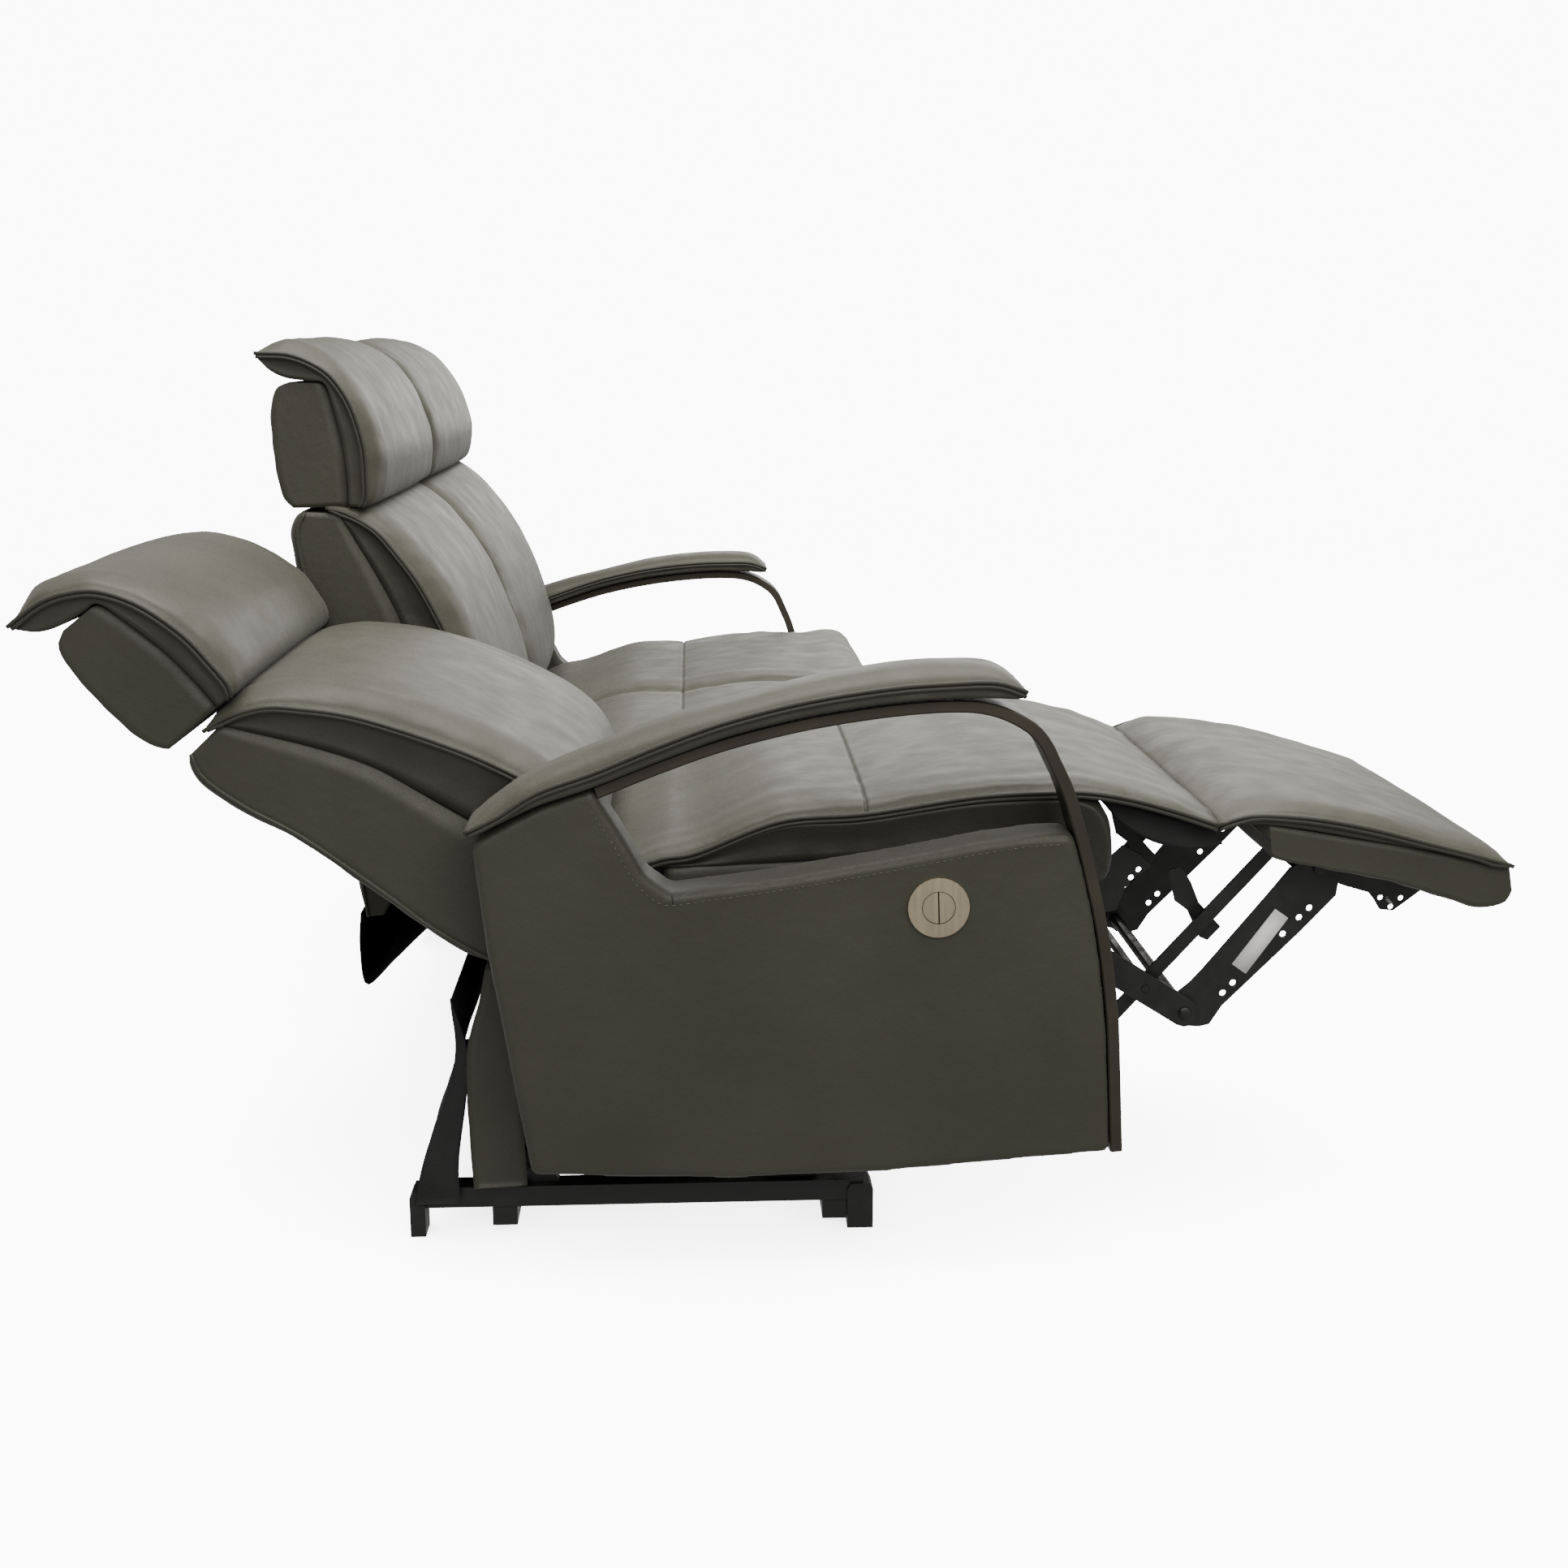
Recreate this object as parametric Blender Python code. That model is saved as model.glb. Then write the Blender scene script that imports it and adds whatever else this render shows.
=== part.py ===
"""A reclining sofa: two end seats that recline with their arms, and a fixed seat between them.

Lengths are in metres, with +X to the front of the sofa, +Z up, and Y across it.
An end seat is drawn once, upright, in a side view (x, z), with its depth d counted inwards
from the outer face of its arm. The near end seat is posed reclined and the far one upright.
"""

import math

import bmesh
import bpy
from mathutils import Vector

# ---- driving dimensions ----
SOFA_WIDTH = 1.94           # between the outer faces of the two arm panels
ROW_X = 0.1893              # from the drawing's zero to the row's origin, under the middle of the sofa
SEAT_IN, SEAT_OUT = 0.092, 0.672
GAP = 0.0004                # between solids that touch
PIN_FIT = 0.0006            # between a pin and its hole
MIDDLE_SEAT_START = 0.68    # where the middle seat begins
SIDE_MIRROR = 0.76          # depths of the outer and inner halves of a mechanism add up to this

# recliner lift: two swinging links on each side raise the seat and carry it forward
FRONT_PIVOT = Vector((0.20, 0.085))
FRONT_SWING = 0.26
FRONT_LEAN_BACK = math.radians(-44.2)
FRONT_LEAN_FORWARD = math.radians(9.36)
SEAT_TILT = math.radians(-2.2)
REAR_TOP = Vector((-0.282, 0.267))
REAR_PIVOT_HEIGHT = 0.085
REAR_PIN_PLAY = 0.0018      # the rear swing's upper pin drifts by this much in mid travel

# backrest and headrest
BACK_HINGE = Vector((-0.25, 0.399))
BACK_RECLINE = math.radians(-44.0)
HEAD_HINGE = Vector((-0.358, 0.833))
HEAD_FORWARD = math.radians(8.0)

# footrest: a parallelogram of links, drawn with the footrest out
FOOT_FOLD = math.radians(78.0)
FOOT_HINGE = Vector((0.42, 0.478))
LINK_ROOT = Vector((0.2532, 0.3042))
LINK_REACH = Vector((0.2048, -0.1412))
LINK_ELBOW = LINK_ROOT + LINK_REACH
FOOT_PIN = FOOT_HINGE + LINK_REACH
CROSS_SHARE = 0.76
CROSS_ELBOW = LINK_ROOT + LINK_REACH * CROSS_SHARE
CROSS_PIN = FOOT_HINGE + LINK_REACH * CROSS_SHARE
CROSS_TAIL = 0.07

# linear actuator
MOTOR_PIVOT = Vector((-0.14, 0.078))
CRANK = 0.12
CRANK_TUBE = 0.011
CRANK_RISE = 0.0128         # how far the crank tube rises in the rod's slot in mid travel
MOTOR_DEPTH = 0.38

# layers of the mechanism, as depths
RAIL = (0.120, 0.150)
RAIL_LUG = (0.134, 0.149)
SWING = (0.1535, 0.1595)
SEAT_PLATE = (0.163, 0.169)
BACK_EAR = (0.172, 0.178)
LOWER_LINK = (0.1725, 0.1775)
LONG_LINK = (0.181, 0.186)
CROSS_LINK = (0.1892, 0.1942)
FOOT_PLATE = (0.1974, 0.2034)

# the arm's flat bar: its inner line from the rear, under the pad, and down the front
BAR_THICK = 0.014
BAR_LINE = [
    Vector(p)
    for p in (
        (-0.235, 0.5092), (-0.160, 0.5355), (-0.088, 0.557), (0.0, 0.5745), (0.09, 0.5845),
        (0.16, 0.5862), (0.20, 0.580), (0.232, 0.564), (0.25, 0.546), (0.2625, 0.520),
        (0.2762, 0.488), (0.2885, 0.4448), (0.2995, 0.397), (0.3104, 0.3435),
        (0.3182, 0.2903), (0.3232, 0.2415), (0.3257, 0.2017), (0.329, 0.061),
    )
]
BAR_UNDER_PAD = 7           # points of that line that lie under the pad
BUTTON = Vector((0.135, 0.368))
BUTTON_R = 0.0182
BUTTON_SLIT = 0.0015

COLOURS = {
    "leather": ((0.125, 0.127, 0.105), 0.45, 0.0),
    "leather_dark": ((0.060, 0.061, 0.052), 0.50, 0.0),
    "bronze": ((0.085, 0.073, 0.055), 0.42, 0.8),
    "nickel": ((0.52, 0.47, 0.38), 0.32, 1.0),
    "black_steel": ((0.012, 0.012, 0.013), 0.45, 0.5),
    "black_plastic": ((0.018, 0.018, 0.020), 0.50, 0.0),
    "bright_rod": ((0.62, 0.62, 0.63), 0.22, 1.0),
    "board": ((0.030, 0.030, 0.030), 0.85, 0.0),
}


# ---- side-view outlines ----
def arc(centre, radius, start, end, count):
    """Points on a circle, with angles in degrees counted from +X towards +Z."""
    steps = [math.radians(start + (end - start) * i / count) for i in range(count + 1)]
    return [centre + radius * Vector((math.cos(a), math.sin(a))) for a in steps]


def circle(centre, radius, count=14):
    return arc(centre, radius, 0, 360 - 360 / count, count - 1)


def link(a, b, radius):
    """A flat link with round ends."""
    heading = math.degrees(math.atan2(b.y - a.y, b.x - a.x))
    return arc(a, radius, heading + 90, heading + 270, 6) + arc(b, radius, heading - 90, heading + 90, 6)


def offset(line, distance):
    """The line moved to its left."""
    moved = []
    for i, point in enumerate(line):
        ahead = line[min(i + 1, len(line) - 1)] - line[max(i - 1, 0)]
        moved.append(point + distance * Vector((-ahead.y, ahead.x)).normalized())
    return moved


def points(*pairs):
    return [Vector(p) for p in pairs]


def turned(point, centre, angle):
    """The point turned about the centre, positive from +Z towards +X."""
    c, s = math.cos(angle), math.sin(angle)
    v = point - centre
    return centre + Vector((v.x * c + v.y * s, -v.x * s + v.y * c))


def lean(length, angle):
    return length * Vector((math.sin(angle), math.cos(angle)))


FRONT_TOP = FRONT_PIVOT + lean(FRONT_SWING, FRONT_LEAN_BACK)
FRONT_TOP_OUT = FRONT_PIVOT + lean(FRONT_SWING, FRONT_LEAN_FORWARD)


def rear_pivot():
    """The base pivot that is as far from the rear point upright as from the same point reclined."""
    out = FRONT_TOP_OUT + turned(REAR_TOP, FRONT_TOP, SEAT_TILT) - FRONT_TOP
    middle = (REAR_TOP + out) / 2
    across = out - REAR_TOP
    return Vector((middle.x + (middle.y - REAR_PIVOT_HEIGHT) * across.y / across.x, REAR_PIVOT_HEIGHT))


REAR_PIVOT = rear_pivot()
REAR_TOP_OUT = FRONT_TOP_OUT + turned(REAR_TOP, FRONT_TOP, SEAT_TILT) - FRONT_TOP


def swing_angle(pivot, top):
    return math.atan2(top.x - pivot.x, top.y - pivot.y)


REAR_TURN = swing_angle(REAR_PIVOT, REAR_TOP_OUT) - swing_angle(REAR_PIVOT, REAR_TOP)
FRONT_TURN = FRONT_LEAN_FORWARD - FRONT_LEAN_BACK
CRANK_IN = FRONT_PIVOT + lean(CRANK, FRONT_LEAN_BACK)
CRANK_OUT = FRONT_PIVOT + lean(CRANK, FRONT_LEAN_FORWARD)
MOTOR_REACH = CRANK_IN - MOTOR_PIVOT
MOTOR_STROKE = (CRANK_OUT - MOTOR_PIVOT).length - MOTOR_REACH.length
MOTOR_TURN = swing_angle(MOTOR_PIVOT, CRANK_OUT) - swing_angle(MOTOR_PIVOT, CRANK_IN)


# ---- solids ----
def materials():
    made = {}
    for name, (colour, roughness, metallic) in COLOURS.items():
        material = bpy.data.materials.new(name)
        material.use_nodes = True
        shader = material.node_tree.nodes["Principled BSDF"]
        shader.inputs["Base Color"].default_value = (*colour, 1)
        shader.inputs["Roughness"].default_value = roughness
        shader.inputs["Metallic"].default_value = metallic
        made[name] = material
    return made


def prism(outline, across, centre=Vector((0, 0))):
    """A side-view outline carried across from one Y to another."""
    low, high = min(across), max(across)
    count = len(outline)
    rows = [(p.x - centre.x, y, p.y - centre.y) for y in (low, high) for p in outline]
    area = sum(a.x * b.y - b.x * a.y for a, b in zip(outline, outline[1:] + outline[:1]))
    sides = [(i, (i + 1) % count, count + (i + 1) % count, count + i) for i in range(count)]
    faces = [tuple(range(count)), tuple(reversed(range(count, 2 * count))), *[s[::-1] for s in sides]]
    if area < 0:
        faces = [tuple(reversed(f)) for f in faces]
    mesh = bpy.data.meshes.new("solid")
    mesh.from_pydata(rows, [], [tuple(reversed(f)) for f in faces])
    mesh.flip_normals()
    thing = bpy.data.objects.new("solid", mesh)
    bpy.context.scene.collection.objects.link(thing)
    return thing


def finished(thing):
    """Bakes an object's modifiers into its mesh."""
    bpy.context.view_layer.update()
    seen = thing.evaluated_get(bpy.context.evaluated_depsgraph_get())
    mesh = bpy.data.meshes.new_from_object(seen)
    thing.modifiers.clear()
    thing.data = mesh
    return thing


def combined(thing, others, operation):
    for other in others:
        step = thing.modifiers.new(operation, "BOOLEAN")
        step.operation = operation
        step.object = other
        step.solver = "EXACT"
    finished(thing)
    for other in others:
        bpy.data.objects.remove(other)
    return thing


def rounded(thing, width, segments=1):
    """Rounds the outward corners that turn by more than 50 degrees."""
    work = bmesh.new()
    work.from_mesh(thing.data)
    corners = [e for e in work.edges if e.calc_face_angle_signed() > math.radians(50)]
    bmesh.ops.bevel(work, geom=corners, offset=width, segments=segments, profile=0.5, affect="EDGES")
    work.to_mesh(thing.data)
    work.free()
    return thing


class Body:
    """A rigid group: an empty on its joint's axis, with solids drawn in the group's own drawing."""

    def __init__(self, name, parent, pivot, turn=0.0, slide=(0.0, 0.0, 0.0)):
        self.pivot = pivot
        self.empty = bpy.data.objects.new(name, None)
        bpy.context.scene.collection.objects.link(self.empty)
        self.empty.rotation_euler = (0, turn, 0)
        place = Vector((pivot.x, 0, pivot.y))
        if parent:
            place -= Vector((parent.pivot.x, 0, parent.pivot.y))
            self.empty.parent = parent.empty
        else:
            place -= Vector((ROW_X, SOFA_WIDTH / 2, 0))
        self.empty.location = place + Vector(slide)

    def add(self, name, thing, material):
        thing.name = name
        thing.data.name = name
        thing.data.materials.clear()
        thing.data.materials.append(SHADES[material])
        thing.data.shade_smooth()
        thing.data.set_sharp_from_angle(angle=math.radians(35))
        thing.parent = self.empty
        return thing


class Side:
    """Turns depths into Y for the near or the far end seat."""

    def __init__(self, name, far):
        self.name = name
        self.far = far

    def y(self, depth):
        return SOFA_WIDTH - depth if self.far else depth

    def span(self, layer):
        return self.y(layer[0]), self.y(layer[1])

    def inner(self, layer):
        return self.span((SIDE_MIRROR - layer[1], SIDE_MIRROR - layer[0]))

    def both(self, outline, layer, centre):
        """The same plate on the outer and on the inner side."""
        return [prism(outline, self.span(layer), centre), prism(outline, self.inner(layer), centre)]


# ---- outlines shared by all three seats ----
SEAT_CUSHION = points(
    (-0.19, 0.405), (-0.19, 0.414), (-0.13, 0.424), (-0.034, 0.452), (0.066, 0.458),
    (0.192, 0.4705), (0.30, 0.470), (0.332, 0.459), (0.352, 0.436), (0.356, 0.403),
    (0.348, 0.3545), (0.315, 0.3505), (0.305, 0.36), (0.3032, 0.405),
)
BACK_SPLIT = points((-0.285, 0.43), (-0.292, 0.50), (-0.327, 0.664), (-0.405, 0.818))
BACK_FRONT = points(
    (-0.392, 0.824), (-0.36, 0.824), (-0.31, 0.79), (-0.24, 0.689),
    (-0.203, 0.588), (-0.182, 0.49), (-0.19, 0.445), (-0.205, 0.43),
)
BACK_REAR = points(
    (-0.44, 0.826), (-0.478, 0.815), (-0.472, 0.757), (-0.451, 0.669), (-0.436, 0.56), (-0.424, 0.45),
)
HEAD_SHELL = points(
    (-0.485, 0.829), (-0.3945, 0.829), (-0.3945, 0.904), (-0.4195, 1.0),
    (-0.492, 1.0), (-0.498, 0.963), (-0.496, 0.893), (-0.488, 0.845),
)
HEAD_CUSHION = points(
    (-0.394, 0.829), (-0.366, 0.8285), (-0.345, 0.85), (-0.337, 0.907), (-0.377, 0.998),
    (-0.437, 1.048), (-0.471, 1.066), (-0.511, 1.047), (-0.508, 1.03), (-0.49, 1.0004),
    (-0.419, 1.0004), (-0.394, 0.904),
)


def seat_soft(body, name, across, box_outline):
    inset = 0.004 if across[1] > across[0] else -0.004
    box_across = (across[0] + inset, across[1] - inset)
    body.add(name + "_seat_box", prism(box_outline, box_across, body.pivot), "leather_dark")
    cushion = rounded(prism(SEAT_CUSHION, across, body.pivot), 0.012, 2)
    body.add(name + "_seat_cushion", cushion, "leather")


def back_soft(body, name, across, shell):
    body.add(name + "_back_shell", shell, "leather")
    cushion = prism(BACK_SPLIT + BACK_FRONT, across, body.pivot)
    body.add(name + "_back_cushion", rounded(cushion, 0.012, 2), "leather")


def headrest(body, name, across):
    inset = 0.008 if across[1] > across[0] else -0.008
    shell = prism(HEAD_SHELL, (across[0] + inset, across[1] - inset), body.pivot)
    body.add(name + "_headrest_shell", rounded(shell, 0.006), "leather")
    cushion = rounded(prism(HEAD_CUSHION, across, body.pivot), 0.010, 2)
    body.add(name + "_headrest_cushion", cushion, "leather")


def shell_outline(bottom):
    return bottom + [p - Vector((GAP, 0)) for p in BACK_SPLIT] + BACK_REAR


# ---- base ----
def rail(side, base, inner):
    """A floor rail with two feet and a lug for each swinging link."""
    span = side.inner if inner else side.span
    bar = prism(points((-0.25, 0.036), (0.285, 0.036), (0.285, 0.062), (-0.25, 0.062)), span(RAIL))
    extras = []
    for start, end in ((-0.264, -0.2455), (0.2655, 0.297)):
        foot = points((start, 0.0), (end, 0.0), (end, 0.05), (end - 0.004, 0.058), (start + 0.004, 0.058), (start, 0.05))
        extras.append(prism(foot, span((RAIL[0] - 0.003, RAIL[1] + 0.003))))
    for pivot in (FRONT_PIVOT, REAR_PIVOT):
        skirt = [pivot + Vector((-0.036, -0.035)), pivot + Vector((0.036, -0.035))]
        extras.append(prism(skirt + arc(pivot, 0.018, 10, 170, 6), span(RAIL_LUG)))
    if inner:
        for start, end in ((-0.235, -0.205), (0.20, 0.23)):
            arm = points((start, 0.038), (end, 0.038), (end, 0.060), (start, 0.060))
            post = points((start + 0.001, 0.039), (end - 0.001, 0.039), (end - 0.001, 0.3297), (start + 0.001, 0.3297))
            extras.append(prism(arm, side.span((0.63, 0.715))))
            extras.append(prism(post, side.span((0.684, 0.714))))
    combined(bar, extras, "UNION")
    holes = [prism(circle(p, 0.0062 + PIN_FIT), span((0.12, 0.16))) for p in (FRONT_PIVOT, REAR_PIVOT)]
    combined(bar, holes, "DIFFERENCE")
    base.add(side.name + ("_rail_inner" if inner else "_rail_outer"), bar, "black_steel")


def tie_bars(base, sides):
    """Two flat bars join all the rails; the rear one holds the actuators' lugs."""
    reach = (RAIL[0], SOFA_WIDTH - RAIL[0])
    front = prism(points((0.235, 0.012), (0.265, 0.012), (0.265, 0.0356), (0.235, 0.0356)), reach)
    base.add("tie_bar_front", front, "black_steel")
    rear = prism(points((-0.165, 0.012), (-0.135, 0.012), (-0.135, 0.0356), (-0.165, 0.0356)), reach)
    lugs = []
    holes = []
    for side in sides:
        for near_face in (MOTOR_DEPTH - 0.024, MOTOR_DEPTH + 0.018):
            layer = side.span((near_face, near_face + 0.006))
            lugs.append(prism(link(Vector((-0.149, 0.026)), MOTOR_PIVOT, 0.0125), layer))
        holes.append(prism(circle(MOTOR_PIVOT, 0.0056 + PIN_FIT), side.span((0.34, 0.42))))
    combined(rear, lugs, "UNION")
    combined(rear, holes, "DIFFERENCE")
    base.add("tie_bar_rear", rear, "black_steel")


# ---- end seat: mechanism ----
def swing(side, body, name, pivot, top, tube_share, tube_radius):
    """Two plates joined by a cross tube, with pins at both ends of each plate."""
    plates = side.both(link(pivot, top, 0.016), SWING, pivot)
    tube_centre = pivot + (top - pivot) * tube_share
    tube = prism(circle(tube_centre, tube_radius), side.span((SWING[0] + 0.002, SIDE_MIRROR - SWING[0] - 0.002)), pivot)
    pins = side.both(circle(pivot, 0.0062), (RAIL_LUG[0] + 0.003, SWING[0] + 0.003), pivot)
    pins += side.both(circle(top, 0.0062), (SWING[1] - 0.003, SEAT_PLATE[1] + 0.002), pivot)
    body.add(side.name + name, combined(plates[0], [plates[1], tube, *pins], "UNION"), "black_steel")


def seat_frame(side, body):
    """Two side plates with two cross tubes that reach out to the arm."""
    outline = arc(REAR_TOP, 0.017, 180, 265, 4)
    outline += [FRONT_TOP - Vector((0, 0.017))]
    outline += arc(LINK_ROOT, 0.017, 285, 360, 4)
    outline += points((0.2702, 0.3296), (-0.19, 0.3296), (-0.214, 0.352))
    outline += arc(BACK_HINGE, 0.017, -25, 180, 8)
    plates = side.both(outline, SEAT_PLATE, body.pivot)
    extras = []
    for x in (-0.20, 0.11):
        tube = circle(Vector((x, 0.305)), 0.010)
        extras.append(prism(tube, side.span((0.0656, SIDE_MIRROR - SEAT_PLATE[0] - 0.002)), body.pivot))
    extras += side.both(circle(LINK_ROOT, 0.006), (SEAT_PLATE[0] + 0.002, LOWER_LINK[1] + 0.002), body.pivot)
    combined(plates[0], [plates[1], *extras], "UNION")
    holes = []
    for p, play in ((REAR_TOP, REAR_PIN_PLAY), (FRONT_TOP, 0.0), (BACK_HINGE, 0.0)):
        hole = circle(p, 0.0062 + PIN_FIT + play)
        holes += side.both(hole, (SEAT_PLATE[0] - 0.004, SEAT_PLATE[1] + 0.004), body.pivot)
    body.add(side.name + "_seat_frame", combined(plates[0], holes, "DIFFERENCE"), "black_steel")


def lower_link(side, body):
    plates = side.both(link(LINK_ROOT, LINK_ELBOW, 0.018), LOWER_LINK, body.pivot)
    tube = prism(circle(LINK_ELBOW, 0.008), side.span((0.175, SIDE_MIRROR - 0.175)), body.pivot)
    combined(plates[0], [plates[1], tube], "UNION")
    holes = side.both(circle(LINK_ROOT, 0.006 + PIN_FIT), (0.170, 0.180), body.pivot)
    holes += side.both(circle(CROSS_ELBOW, 0.005 + PIN_FIT), (0.170, 0.180), body.pivot)
    body.add(side.name + "_foot_link_lower", combined(plates[0], holes, "DIFFERENCE"), "black_steel")


def long_link(side, body):
    plates = side.both(link(LINK_ELBOW, FOOT_PIN, 0.015), LONG_LINK, body.pivot)
    tube = prism(circle(FOOT_PIN, 0.007), side.span((0.1835, SIDE_MIRROR - 0.1835)), body.pivot)
    combined(plates[0], [plates[1], tube], "UNION")
    holes = side.both(circle(LINK_ELBOW, 0.008 + PIN_FIT), (0.179, 0.188), body.pivot)
    body.add(side.name + "_foot_link_long", combined(plates[0], holes, "DIFFERENCE"), "black_steel")


def cross_link(side, body):
    tail = CROSS_ELBOW - CROSS_TAIL * (CROSS_PIN - CROSS_ELBOW).normalized()
    plates = side.both(link(tail, CROSS_PIN, 0.0085), CROSS_LINK, body.pivot)
    tube = prism(circle(CROSS_ELBOW, 0.006), side.span((0.1917, SIDE_MIRROR - 0.1917)), body.pivot)
    pins = side.both(circle(CROSS_ELBOW, 0.005), (LOWER_LINK[0] - 0.0005, CROSS_LINK[0] + 0.0025), body.pivot)
    combined(plates[0], [plates[1], tube, *pins], "UNION")
    holes = side.both(circle(CROSS_PIN, 0.005 + PIN_FIT), (0.187, 0.196), body.pivot)
    body.add(side.name + "_foot_link_cross", combined(plates[0], holes, "DIFFERENCE"), "black_steel")


def footrest(side, body):
    """A padded board on two hanging plates."""
    board_top = points((0.536, 0.418), (0.824, 0.355))
    down = Vector((-0.0056, -0.0254))
    board = prism([*board_top, board_top[1] + down, board_top[0] + down], side.span((0.10, 0.664)), body.pivot)
    body.add(side.name + "_footrest_board", rounded(board, 0.003), "leather_dark")
    up = Vector((0.0001, GAP))
    pad_line = [board_top[1] + up, board_top[0] + up]
    crown = points((0.5345, 0.431), (0.56, 0.4385), (0.64, 0.4305), (0.74, 0.406), (0.815, 0.382), (0.8295, 0.3665))
    pad = prism(pad_line + crown, side.span((0.096, 0.668)), body.pivot)
    body.add(side.name + "_footrest_pad", rounded(pad, 0.006, 2), "leather")
    outline = points((0.752, 0.343), (0.556, 0.3858), (0.566, 0.361), (0.600, 0.332))
    outline += arc(FOOT_PIN, 0.015, 235, 290, 3)
    outline += points((0.66, 0.309), (0.7062, 0.2936), (0.7448, 0.3072))
    plates = side.both(outline, FOOT_PLATE, body.pivot)
    tube = prism(circle(Vector((0.715, 0.324)), 0.006), side.span((0.200, SIDE_MIRROR - 0.200)), body.pivot)
    pins = side.both(circle(CROSS_PIN, 0.005), (CROSS_LINK[0] - 0.001, FOOT_PLATE[0] + 0.003), body.pivot)
    combined(plates[0], [plates[1], tube, *pins], "UNION")
    holes = side.both(circle(FOOT_PIN, 0.007 + PIN_FIT), (0.194, 0.207), body.pivot)
    body.add(side.name + "_footrest_bracket", combined(plates[0], holes, "DIFFERENCE"), "black_steel")


def along(start, end, low, high):
    """A band between two offsets from the line start to end, as an outline."""
    heading = (end - start).normalized()
    left = Vector((-heading.y, heading.x))
    return [start + left * low, end + left * low, end + left * high, start + left * high]


def round_bar(body, start, end, radius, depth_y, count=16):
    """A round bar along a side-view line, at one depth."""
    axis = Vector((end.x - start.x, 0, end.y - start.y))
    mesh = bpy.data.meshes.new("bar")
    turn = Vector((0, 0, 1)).rotation_difference(axis)
    rows = []
    for height in (0.0, axis.length):
        for i in range(count):
            a = math.tau * i / count
            rows.append(turn @ Vector((radius * math.cos(a), radius * math.sin(a), height)))
    faces = [tuple(reversed(range(count))), tuple(range(count, 2 * count))]
    faces += [(i, (i + 1) % count, count + (i + 1) % count, count + i) for i in range(count)]
    mesh.from_pydata(rows, [], faces)
    thing = bpy.data.objects.new("bar", mesh)
    bpy.context.scene.collection.objects.link(thing)
    shift = Vector((start.x - body.pivot.x, depth_y, start.y - body.pivot.y))
    for vertex in mesh.vertices:
        vertex.co += shift
    return thing


def actuator(side, motor, rod):
    """A motor with its housing tube, and a rod that slides out of it to the crank tube."""
    heading = MOTOR_REACH.normalized()
    left = Vector((-heading.y, heading.x))
    y = side.y(MOTOR_DEPTH)

    def at(distance, height=0.0):
        return MOTOR_PIVOT + heading * distance + left * height

    housing = round_bar(motor, at(0.02), at(0.236), 0.0185, y)
    block = along(at(0.012), at(0.074), -0.052, 0.020)
    gearbox = prism(block, side.span((MOTOR_DEPTH - 0.0165, MOTOR_DEPTH + 0.0165)), motor.pivot)
    can = round_bar(motor, at(0.06, -0.032), at(0.168, -0.032), 0.0155, y)
    tail = prism(link(MOTOR_PIVOT, at(0.03), 0.011), side.span((MOTOR_DEPTH - 0.011, MOTOR_DEPTH + 0.011)), motor.pivot)
    pin = prism(circle(MOTOR_PIVOT, 0.0056), side.span((MOTOR_DEPTH - 0.023, MOTOR_DEPTH + 0.023)), motor.pivot)
    combined(housing, [gearbox, can, tail, pin], "UNION")
    combined(housing, [round_bar(motor, at(0.10), at(0.26), 0.0105, y)], "DIFFERENCE")
    motor.add(side.name + "_actuator_motor", housing, "black_plastic")

    reach = MOTOR_REACH.length
    shaft = round_bar(rod, at(0.112), at(reach - 0.015), 0.0095, y)
    slot = [at(reach), at(reach, CRANK_RISE), CRANK_TUBE + 0.002]
    eye = prism(link(*slot[:2], slot[2] + 0.005), side.span((MOTOR_DEPTH - 0.009, MOTOR_DEPTH + 0.009)), rod.pivot)
    combined(shaft, [eye], "UNION")
    hole = prism(link(*slot), side.span((MOTOR_DEPTH - 0.02, MOTOR_DEPTH + 0.02)), rod.pivot)
    rod.add(side.name + "_actuator_rod", combined(shaft, [hole], "DIFFERENCE"), "bright_rod")


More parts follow.
